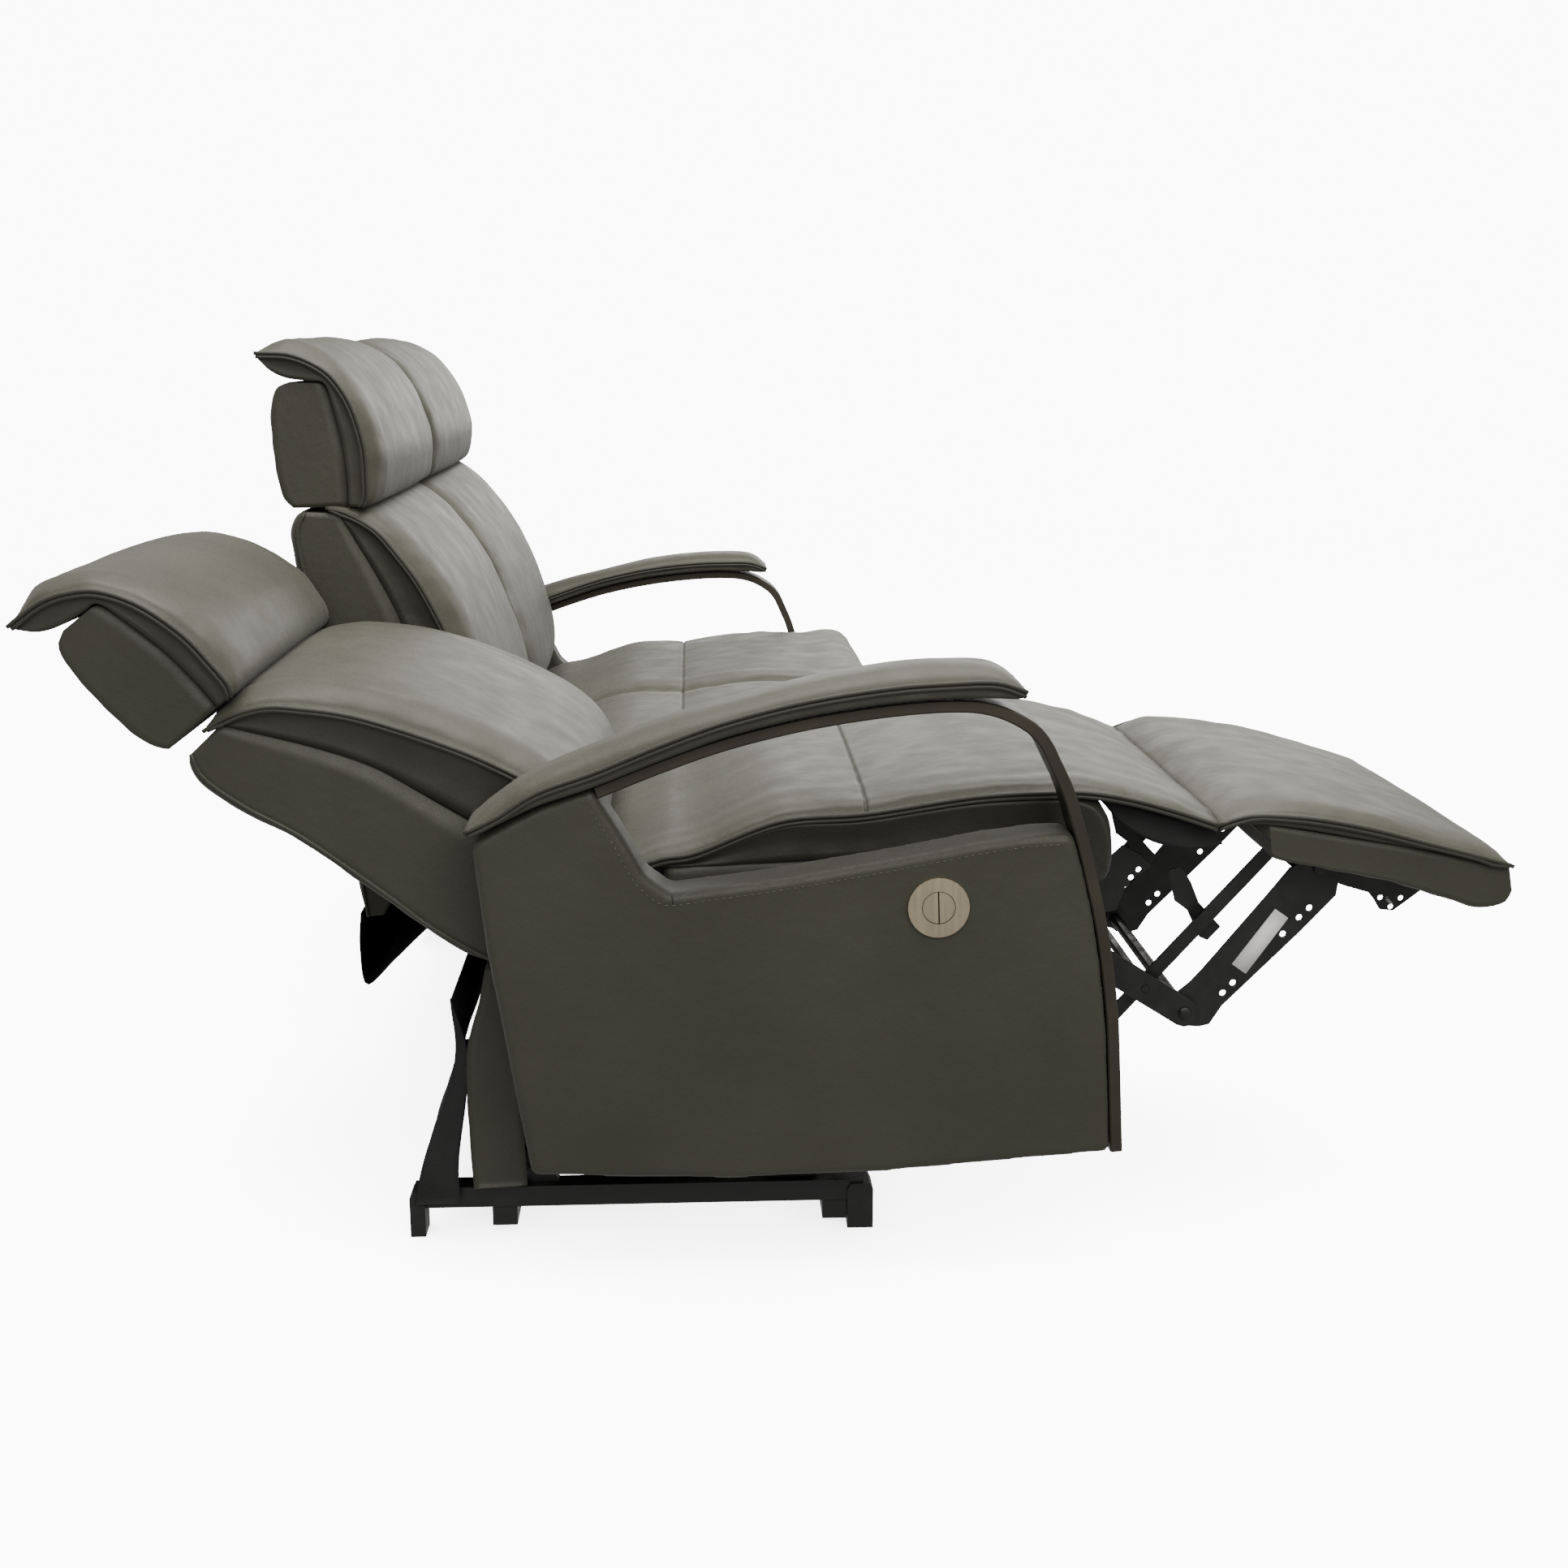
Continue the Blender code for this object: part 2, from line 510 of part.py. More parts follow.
# ---- end seat: arm ----
def arm(side, body):
    """A padded side panel, the flat bar round its window, and the pad on top."""
    front = [p - Vector((GAP * 1.5, 0)) for p in reversed(BAR_LINE[12:])]
    outline = points((-0.337, 0.0715), (-0.111, 0.054), (0.0765, 0.0526))
    outline += front
    outline += points((0.289, 0.438), (0.283, 0.4432), (0.2477, 0.4434), (0.1894, 0.4386), (0.0858, 0.4236))
    outline += points((-0.04, 0.4075), (-0.162, 0.397), (-0.189, 0.42), (-0.212, 0.467), (-0.2356, 0.5088))
    outline += points((-0.2403, 0.5218), (-0.30, 0.5035), (-0.3755, 0.4675), (-0.3765, 0.455))
    outline += points((-0.368, 0.336), (-0.3515, 0.191))
    panel = rounded(prism(outline, side.span((0.0, 0.065)), body.pivot), 0.004)
    combined(panel, [prism(circle(BUTTON, 0.0195, 20), side.span((-0.01, 0.012)), body.pivot)], "DIFFERENCE")
    body.add(side.name + "_arm_panel", panel, "leather_dark")

    bar = prism(BAR_LINE + offset(BAR_LINE, BAR_THICK)[::-1], side.span((0.003, 0.063)), body.pivot)
    body.add(side.name + "_arm_bar", bar, "bronze")

    under = points((-0.378, 0.472), (-0.30, 0.5075)) + offset(BAR_LINE[:BAR_UNDER_PAD], BAR_THICK + GAP)
    over = points((0.234, 0.606), (0.236, 0.611), (0.215, 0.629), (0.144, 0.6365))
    over += points((0.002, 0.621), (-0.1755, 0.58), (-0.309, 0.533), (-0.38, 0.494))
    pad = rounded(prism(under + over, side.span((-0.012, 0.086)), body.pivot), 0.006)
    body.add(side.name + "_arm_pad", pad, "leather")

    plate = prism(circle(BUTTON, 0.0345, 28), side.span((-0.0052, -GAP)), body.pivot)
    combined(plate, [prism(circle(BUTTON, 0.0190, 20), side.span((-0.02, 0.01)), body.pivot)], "DIFFERENCE")
    body.add(side.name + "_button_plate", plate, "nickel")


def button(side, body, name, forward):
    """One half of the round switch."""
    start = -90 if forward else 90
    shift = Vector((BUTTON_SLIT / 2, 0)) * (1 if forward else -1)
    edge = math.degrees(math.asin(BUTTON_SLIT / 2 / BUTTON_R))
    outline = arc(BUTTON, BUTTON_R, start + edge, start + 180 - edge, 10)
    outline = [Vector((BUTTON.x + shift.x, p.y)) if i in (0, 10) else p for i, p in enumerate(outline)]
    half = prism(outline, side.span((-0.0048, 0.008)), body.pivot)
    body.add(side.name + name, half, "nickel")


# ---- assemblies ----
def end_seat(side, base, out):
    """One reclining end seat; out is 1 when it is reclined and 0 when it is upright."""
    name = side.name
    front = Body(name + "_front_swing_axis", base, FRONT_PIVOT, out * FRONT_TURN)
    rear = Body(name + "_rear_swing_axis", base, REAR_PIVOT, out * REAR_TURN)
    seat = Body(name + "_seat_axis", front, FRONT_TOP, out * (SEAT_TILT - FRONT_TURN))
    back = Body(name + "_back_axis", seat, BACK_HINGE, out * BACK_RECLINE)
    head = Body(name + "_head_axis", back, HEAD_HINGE, out * HEAD_FORWARD)
    fold = (1 - out) * FOOT_FOLD
    foot = Body(name + "_footrest_axis", seat, FOOT_HINGE, fold)
    lower = Body(name + "_lower_link_axis", seat, LINK_ROOT, fold)
    long = Body(name + "_long_link_axis", lower, LINK_ELBOW, -fold)
    cross = Body(name + "_cross_link_axis", lower, CROSS_ELBOW, -fold)
    motor = Body(name + "_motor_axis", base, MOTOR_PIVOT, out * MOTOR_TURN)
    heading = MOTOR_REACH.normalized() * MOTOR_STROKE * out
    rod = Body(name + "_rod_axis", motor, MOTOR_PIVOT, 0.0, (heading.x, 0.0, heading.y))

    rail(side, base, inner=False)
    rail(side, base, inner=True)
    swing(side, front, "_front_swing", FRONT_PIVOT, FRONT_TOP, CRANK / FRONT_SWING, CRANK_TUBE)
    swing(side, rear, "_rear_swing", REAR_PIVOT, REAR_TOP, 0.82, 0.008)
    seat_frame(side, seat)
    lower_link(side, lower)
    long_link(side, long)
    cross_link(side, cross)
    footrest(side, foot)
    actuator(side, motor, rod)
    arm(side, seat)
    for half, forward in (("_button_front", True), ("_button_rear", False)):
        axis = Body(name + half + "_axis", seat, BUTTON)
        button(side, axis, half, forward)

    across = side.span((SEAT_IN, SEAT_OUT))
    seat_soft(seat, name, across, points((-0.17, 0.33), (0.3025, 0.33), (0.3025, 0.404), (-0.17, 0.404)))
    shell = prism(shell_outline(points((-0.419, 0.412), (-0.33, 0.402))), across, back.pivot)
    ear = points((-0.36, 0.45), (-0.345, 0.4068)) + arc(BACK_HINGE, 0.015, -95, 90, 8) + points((-0.31, 0.4255))
    ears = side.both(ear, BACK_EAR, back.pivot)
    pins = side.both(circle(BACK_HINGE, 0.0062), (SEAT_PLATE[0] - 0.002, BACK_EAR[0] + 0.003), back.pivot)
    back_soft(back, name, across, combined(shell, [*ears, *pins], "UNION"))
    headrest(head, name, across)

    flap = points((-0.384, 0.285), (-0.411, 0.1965), (-0.4167, 0.1346), (-0.4196, 0.012))
    sheet = prism(flap + offset(flap, 0.004)[::-1], side.span((0.10, 0.66)), seat.pivot)
    seat.add(name + "_rear_flap", sheet, "leather")


def middle_seat(base):
    """The fixed seat: its board has an apron in line with the folded footrests."""
    across = (MIDDLE_SEAT_START, SOFA_WIDTH - MIDDLE_SEAT_START)
    box = points(
        (-0.33, 0.33), (0.365, 0.33), (0.365, 0.065), (0.40, 0.062), (0.412, 0.20), (0.405, 0.355),
        (0.366, 0.366), (0.362, 0.345), (0.3025, 0.345), (0.3025, 0.404), (-0.33, 0.404),
    )
    seat_soft(base, "middle", across, box)
    bottom = points((-0.407, 0.235), (-0.372, 0.238), (-0.3304, 0.31), (-0.3304, 0.408))
    back_soft(base, "middle", across, prism(shell_outline(bottom), across))
    head = Body("middle_head_axis", base, HEAD_HINGE)
    headrest(head, "middle", across)


for old in list(bpy.data.objects):
    bpy.data.objects.remove(old)
SHADES = materials()
BASE = Body("sofa", None, Vector((0, 0)))
NEAR = Side("near", far=False)
FAR = Side("far", far=True)
tie_bars(BASE, (NEAR, FAR))
end_seat(NEAR, BASE, out=1)
end_seat(FAR, BASE, out=0)
middle_seat(BASE)
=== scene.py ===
"""Looks of the three-seat reclining sofa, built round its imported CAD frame.

The near seat is reclined at rest, the far and the middle seats are upright. Every soft piece is drawn
once, upright, as a side view of (x, z) points in metres, and a Seat puts it where its body is.
"""

import math

import bmesh
import bpy
from mathutils import Matrix, Vector, noise


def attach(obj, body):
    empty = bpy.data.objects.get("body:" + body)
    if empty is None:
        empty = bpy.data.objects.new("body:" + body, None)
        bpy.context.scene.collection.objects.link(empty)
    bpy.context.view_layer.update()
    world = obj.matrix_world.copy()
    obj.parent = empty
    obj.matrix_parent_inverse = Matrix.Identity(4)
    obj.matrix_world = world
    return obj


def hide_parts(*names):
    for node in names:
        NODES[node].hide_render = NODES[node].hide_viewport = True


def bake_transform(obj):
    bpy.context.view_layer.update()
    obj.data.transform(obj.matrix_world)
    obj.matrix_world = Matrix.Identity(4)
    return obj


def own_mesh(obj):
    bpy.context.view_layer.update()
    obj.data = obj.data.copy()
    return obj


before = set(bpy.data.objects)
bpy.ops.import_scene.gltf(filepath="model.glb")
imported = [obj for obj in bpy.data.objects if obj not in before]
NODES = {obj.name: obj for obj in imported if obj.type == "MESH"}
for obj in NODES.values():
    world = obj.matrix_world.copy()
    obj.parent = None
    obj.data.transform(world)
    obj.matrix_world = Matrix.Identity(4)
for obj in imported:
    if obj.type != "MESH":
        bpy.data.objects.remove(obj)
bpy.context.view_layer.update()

# ---- the side-view drawing and how the near seat is reclined ----
ROW_X = 0.1893
SEAT_IN = 0.878             # an end seat's outer and inner sides, from the row's middle
SEAT_OUT = 0.298
MIDDLE_HALF = 0.290
ARM_OUT = 0.970
PAD_OUT = 0.982
PAD_IN = 0.884
FRONT_TOP = Vector((0.01874, 0, 0.2714))
FRONT_TOP_OUT = Vector((0.2423, 0, 0.3415))
BACK_HINGE = Vector((-0.25, 0, 0.399))
HEAD_HINGE = Vector((-0.358, 0, 0.833))
FOOT_HINGE = Vector((0.42, 0, 0.478))
SEAT_TILT = math.radians(-2.2)
BACK_RECLINE = math.radians(-44.0)
HEAD_FORWARD = math.radians(8.0)
FOOT_FOLD = math.radians(78.0)
MM = 0.001


def depth_y(seat, depth):
    """The Y of a plane that far in from the outer face of a seat's arm."""
    return seat.side * (ARM_OUT - depth)


def turn(angle, centre):
    """A turn about the axis across the sofa through centre."""
    return Matrix.Translation(centre) @ Matrix.Rotation(angle, 4, "Y") @ Matrix.Translation(-centre)


class Seat:
    """Where one seat's bodies are: out is 1 when it is reclined and 0 when it is upright."""

    def __init__(self, name, ys, out, fixed=False):
        self.name = name
        self.ys = ys
        self.side = -1 if name == "near" else 1
        self.fixed = fixed
        row = Matrix.Translation((-ROW_X, 0, 0))
        if out:
            row = row @ Matrix.Translation(FRONT_TOP_OUT)
            row = row @ Matrix.Rotation(SEAT_TILT, 4, "Y") @ Matrix.Translation(-FRONT_TOP)
        self.seat = row
        self.back = row @ turn(out * BACK_RECLINE, BACK_HINGE)
        self.head = self.back @ turn(out * HEAD_FORWARD, HEAD_HINGE)
        self.foot = row @ turn((1 - out) * FOOT_FOLD, FOOT_HINGE)
        self.bodies = {"seat": name + "_seat", "back": name + "_backrest", "head": name + "_headrest"}
        if fixed:
            self.bodies = {"seat": "base", "back": "base", "head": name + "_headrest"}
        self.bodies["foot"] = name + "_footrest"


SEATS = [
    Seat("near", (-SEAT_IN, -SEAT_OUT), 1),
    Seat("middle", (-MIDDLE_HALF, MIDDLE_HALF), 0, fixed=True),
    Seat("far", (SEAT_OUT, SEAT_IN), 0),
]
NEAR, MIDDLE, FAR = SEATS
END_SEATS = (NEAR, FAR)


# ---- materials ----
def node_material(name, colour, roughness, metallic=0.0):
    material = bpy.data.materials.new(name)
    material.use_nodes = True
    tree = material.node_tree
    shader = tree.nodes["Principled BSDF"]
    shader.inputs["Base Color"].default_value = (*colour, 1)
    shader.inputs["Roughness"].default_value = roughness
    shader.inputs["Metallic"].default_value = metallic
    place = tree.nodes.new("ShaderNodeTexCoord")
    return material, tree, shader, place.outputs["Object"]


def noise_node(tree, place, scale, detail=3.0, stretch=None):
    texture = tree.nodes.new("ShaderNodeTexNoise")
    texture.inputs["Scale"].default_value = scale
    texture.inputs["Detail"].default_value = detail
    if stretch:
        mapping = tree.nodes.new("ShaderNodeMapping")
        mapping.inputs["Scale"].default_value = stretch
        tree.links.new(place, mapping.inputs["Vector"])
        place = mapping.outputs["Vector"]
    tree.links.new(place, texture.inputs["Vector"])
    return texture.outputs["Fac"]


def ramp(tree, value, low, high, start=0.35, end=0.65):
    """Runs from one colour to another as value goes from start to end."""
    node = tree.nodes.new("ShaderNodeValToRGB")
    node.color_ramp.elements[0].position = start
    node.color_ramp.elements[0].color = (*low, 1)
    node.color_ramp.elements[1].position = end
    node.color_ramp.elements[1].color = (*high, 1)
    tree.links.new(value, node.inputs["Fac"])
    return node.outputs["Color"]


def scaled(colour, factor):
    return tuple(c * factor for c in colour)


def tinted(tree, shader, value, colour, low, high, start=0.35, end=0.65):
    """Varies the base colour between two multiples of it, as value goes from start to end."""
    shade = ramp(tree, value, scaled(colour, low), scaled(colour, high), start, end)
    tree.links.new(shade, shader.inputs["Base Color"])


def glossed(tree, shader, value, low, high):
    """Varies the roughness from low to high with value."""
    gloss = ramp(tree, value, (low,) * 3, (high,) * 3)
    tree.links.new(gloss, shader.inputs["Roughness"])


def bumped(tree, shader, layers):
    """Adds up bump layers, each (height, distance in metres)."""
    normal = None
    for height, distance in layers:
        bump = tree.nodes.new("ShaderNodeBump")
        bump.inputs["Strength"].default_value = 1.0
        bump.inputs["Distance"].default_value = distance
        tree.links.new(height, bump.inputs["Height"])
        if normal:
            tree.links.new(normal, bump.inputs["Normal"])
        normal = bump.outputs["Normal"]
    tree.links.new(normal, shader.inputs["Normal"])


def leather(name, colour, roughness=0.47):
    """Soft grained hide: pebble grain, fine pores, and slow changes of colour and gloss."""
    material, tree, shader, place = node_material(name, colour, roughness)
    tinted(tree, shader, noise_node(tree, place, 5.0, 4.0), colour, 0.90, 1.08)
    glossed(tree, shader, noise_node(tree, place, 22.0, 5.0), roughness - 0.05, roughness + 0.07)
    shader.inputs["Specular IOR Level"].default_value = 0.30
    shader.inputs["Sheen Weight"].default_value = 0.06
    shader.inputs["Sheen Roughness"].default_value = 0.45
    grain = tree.nodes.new("ShaderNodeTexVoronoi")
    grain.feature = "DISTANCE_TO_EDGE"
    grain.inputs["Scale"].default_value = 620.0
    warped = tree.nodes.new("ShaderNodeTexNoise")
    warped.inputs["Scale"].default_value = 900.0
    tree.links.new(place, grain.inputs["Vector"])
    tree.links.new(place, warped.inputs["Vector"])
    creases = noise_node(tree, place, 70.0, 6.0, (1.0, 1.0, 1.0))
    layers = [(grain.outputs["Distance"], 0.00022), (warped.outputs["Fac"], 0.00012), (creases, 0.0006)]
    bumped(tree, shader, layers)
    return material


def painted_steel(name, colour):
    """Black enamel on pressed steel, with a light orange peel and worn, dusty patches."""
    material, tree, shader, place = node_material(name, colour, 0.42, 0.0)
    worn = noise_node(tree, place, 35.0, 6.0)
    tinted(tree, shader, worn, colour, 1.0, 2.1, 0.5, 0.75)
    glossed(tree, shader, worn, 0.34, 0.58)
    bumped(tree, shader, [(noise_node(tree, place, 600.0, 2.0), 0.00010)])
    return material


def brushed(name, colour, roughness, metallic, stretch):
    """Metal with a fine grain along one direction and slight tarnish."""
    material, tree, shader, place = node_material(name, colour, roughness, metallic)
    lines = noise_node(tree, place, 260.0, 4.0, stretch)
    tinted(tree, shader, noise_node(tree, place, 14.0, 4.0), colour, 0.88, 1.08)
    glossed(tree, shader, lines, roughness - 0.06, roughness + 0.08)
    bumped(tree, shader, [(lines, 0.00006)])
    return material


def woven(name, colour, scale=900.0):
    """Thin dust cloth: crossed threads and a dull surface."""
    material, tree, shader, place = node_material(name, colour, 0.85)
    layers = []
    for direction in ("X", "Z"):
        threads = tree.nodes.new("ShaderNodeTexWave")
        threads.bands_direction = direction
        threads.inputs["Scale"].default_value = scale / 6
        tree.links.new(place, threads.inputs["Vector"])
        layers.append((threads.outputs["Fac"], 0.00015))
    tinted(tree, shader, noise_node(tree, place, 18.0, 4.0), colour, 0.7, 1.5)
    bumped(tree, shader, layers)
    return material


def moulded(name, colour, roughness):
    """Moulded plastic with a fine spark-eroded texture."""
    material, tree, shader, place = node_material(name, colour, roughness)
    tinted(tree, shader, noise_node(tree, place, 40.0, 3.0), colour, 0.9, 1.15)
    bumped(tree, shader, [(noise_node(tree, place, 1100.0, 2.0), 0.00008)])
    return material


HIDE_COLOUR = (0.050, 0.0502, 0.0365)
HIDE = leather("leather_soft", HIDE_COLOUR)
# Painted shade: a darker copy of the same leather for the arm, box, shell, board and skirt panels that
# face away from the light.
HIDE_PANEL_PAINTED_SHADE = leather("leather_panel", scaled(HIDE_COLOUR, 0.72), 0.50)
# Painted deep shade: a still darker copy for cushion bands, welts, sewn channels, the seat's body under
# its cover and the short arm seam.
HIDE_BAND_PAINTED_SHADE = leather("leather_band_painted_shade", scaled(HIDE_COLOUR, 0.55), 0.48)
THREAD = moulded("thread", scaled(HIDE_COLOUR, 1.5), 0.6)
BRONZE = brushed("bronze_bar", (0.048, 0.041, 0.031), 0.42, 0.6, (0.04, 1.0, 0.04))
NICKEL = brushed("satin_nickel", (0.50, 0.43, 0.31), 0.36, 1.0, (1.0, 1.0, 0.05))
BLACK_STEEL = painted_steel("black_steel", (0.0045, 0.0045, 0.0048))
BLACK_PLASTIC = moulded("black_plastic", (0.008, 0.008, 0.009), 0.5)
BRIGHT_ROD = brushed("bright_rod", (0.62, 0.62, 0.63), 0.22, 1.0, (1.0, 1.0, 1.0))
DUST_CLOTH = woven("dust_cloth", (0.006, 0.006, 0.0065))
PAPER = moulded("label_paper", (0.70, 0.70, 0.70), 0.6)


# ---- mesh building ----
def smooth_line(points, t):
    """A point on the Catmull-Rom curve through the points; t counts them."""
    last = len(points) - 1
    i = min(int(t), last - 1)
    f = t - i
    a, b, c, d = (points[min(max(k, 0), last)] for k in (i - 1, i, i + 1, i + 2))
    if i == 0:
        a = 2 * b - c
    if i == last - 1:
        d = 2 * c - b
    square = 2 * a - 5 * b + 4 * c - d
    cube = 3 * b - 3 * c + d - a
    return 0.5 * (2 * b + f * (c - a) + f * f * square + f**3 * cube)


def side_normal(points, t, reach):
    """The direction square to the curve in the side view, on its left."""
    ahead = smooth_line(points, min(t + reach, len(points) - 1)) - smooth_line(points, max(t - reach, 0))
    return Vector((-ahead.z, 0, ahead.x)).normalized()


def steps_along(points, step, marks=()):
    """Steps of about one size along the line, closer together round each mark, which is a point's x.

    Returns (curve parameter, distance) pairs, the line's length and each mark's distance.
    """
    dense = [i / 24 for i in range(24 * (len(points) - 1) + 1)]
    spots = [smooth_line(points, t) for t in dense]
    lengths = [0.0]
    for a, b in zip(spots, spots[1:]):
        lengths.append(lengths[-1] + (b - a).length)
    total = lengths[-1]
    wanted = [total * i / round(total / step) for i in range(round(total / step) + 1)]
    found = []
    for mark in marks:
        nearest = min(range(len(spots)), key=lambda k: abs(spots[k].x - mark))
        found.append(lengths[nearest])
        wanted = [w for w in wanted if abs(w - lengths[nearest]) > 7 * MM]
        wanted += [lengths[nearest] + d * MM for d in (-6, -4, -2.4, -1.2, 0, 1.2, 2.4, 4, 6)]
    result = []
    k = 0
    for w in sorted(wanted):
        while k < len(lengths) - 2 and lengths[k + 1] < w:
            k += 1
        share = (w - lengths[k]) / max(lengths[k + 1] - lengths[k], 1e-9)
        result.append((dense[k] + share * (dense[k + 1] - dense[k]), w))
    return result, total, found


class Skin:
    """Points and faces of one piece while it is put together."""

    def __init__(self):
        self.points = []
        self.faces = []
        self.banded = set()

    def loft(self, rows, ring=True, caps=True, band=()):
        """Joins rows of points; the columns in the last argument get the piece's second material, a
        painted shade.
        """
        start = len(self.points)
        count = len(rows[0])
        for row in rows:
            self.points += row
        for r in range(len(rows) - 1):
            low = start + r * count
            for k in range(count if ring else count - 1):
                after = (k + 1) % count
                if k in band:
                    self.banded.add(len(self.faces))
                self.faces.append((low + k, low + after, low + count + after, low + count + k))
        if caps:
            if band:
                self.banded |= {len(self.faces), len(self.faces) + 1}
            self.faces.append(tuple(reversed(range(start, start + count))))
            self.faces.append(tuple(range(start + (len(rows) - 1) * count, start + len(rows) * count)))

    def tube(self, path, radius, sides=8):
        """Sweeps a round section along the path."""
        rows = []
        up = Vector((0, 1, 0))
        for i, spot in enumerate(path):
            ahead = path[min(i + 1, len(path) - 1)] - path[max(i - 1, 0)]
            ahead.normalize()
            across = ahead.cross(up)
            if across.length < 0.1:
                across = ahead.cross(Vector((0, 0, 1)))
            across.normalize()
            other = across.cross(ahead)
            turns = (2 * math.pi * k / sides for k in range(sides))
            rows.append([spot + radius * (math.cos(a) * across + math.sin(a) * other) for a in turns])
        self.loft(rows)

    def piece(self, name, material, place=Matrix.Identity(4), band=None):
        """Makes the object, with its points put where place says and the second material, a painted
        shade, on the faces kept for it.
        """
        mesh = bpy.data.meshes.new(name)
        mesh.from_pydata([place @ p for p in self.points], [], self.faces)
        mesh.materials.append(material)
        if band:
            mesh.materials.append(band)
            slots = [int(i in self.banded) for i in range(len(self.faces))]
            mesh.polygons.foreach_set("material_index", slots)
        work = bmesh.new()
        work.from_mesh(mesh)
        bmesh.ops.recalc_face_normals(work, faces=work.faces)
        work.to_mesh(mesh)
        work.free()
        mesh.shade_smooth()
        thing = bpy.data.objects.new(name, mesh)
        bpy.context.scene.collection.objects.link(thing)
        return thing


def quarter(x):
    """Rises like a quarter circle from 0 to 1."""
    x = min(max(x, 0.0), 1.0)
    return math.sqrt(1 - (1 - x) ** 2)


def smooth_step(x):
    x = min(max(x, 0.0), 1.0)
    return x * x * (3 - 2 * x)


def stations(y0, y1, step):
    """Places across a panel, closer together by its two edges."""
    near = [0, 1.5, 3.5, 6, 9, 13, 18, 24, 31]      # mm from an edge
    width = abs(y1 - y0)
    inner = width - 2 * near[-1] * MM
    count = max(2, round(inner / step))
    shares = [n * MM / width for n in near]
    middle = [(near[-1] * MM + inner * i / count) / width for i in range(1, count)]
    everything = shares + middle + [1 - s for s in reversed(shares)]
    return [y0 + (y1 - y0) * s for s in everything]


WELT_RADIUS = 2.5 * MM
WELT_PITCH = 5.2 * MM
WELT_PROUD = 0.6 * MM
WELT_SINK = 0.4 * MM
SEAM_HALF = 1.3 * MM
FADE_IN = 0.012                                     # the creases start this far in from the welt
FOLD_REACH = 0.055                                  # and the long folds die out over this
WALL_UNEVEN = 1.3 * MM
WALL_SHARES = (0.08, 0.2, 0.4, 0.6, 0.8, 1.0)       # the band's rows, from its edge down to its base


def creases(along, inside, y, seed, side, folds, puckers):
    """How far leather stands up at one place: long folds by the welts, puckers, and slow swells."""
    drift = 0.012 * noise.noise(Vector((along * 9, y * 4, side)))
    wave = folds * MM * noise.noise(Vector((along * 4.5, (inside + drift) * 36, side)))
    wave *= math.exp(-inside / FOLD_REACH) * 1.9 + 0.07
    nearness = math.exp(-((inside - 0.018) / 0.022) ** 2)
    wave += puckers * MM * nearness * noise.noise(Vector((along * 34, inside * 14, side + 3)))
    return wave + 2.2 * MM * noise.noise(Vector((along * 6, y * 6, seed + 5)))


def seam_dip(off, y, seed):
    """How deep a sewn channel pulls the leather in, at a distance from its middle."""
    dip = 3.4 * MM * math.exp(-((off / (1.8 * MM)) ** 2))
    dip += 3.0 * MM * math.exp(-((off / 0.020) ** 2))
    return dip + 0.8 * MM * math.exp(-off / 0.03) * noise.noise(Vector((y * 60, off * 9, seed + 9)))


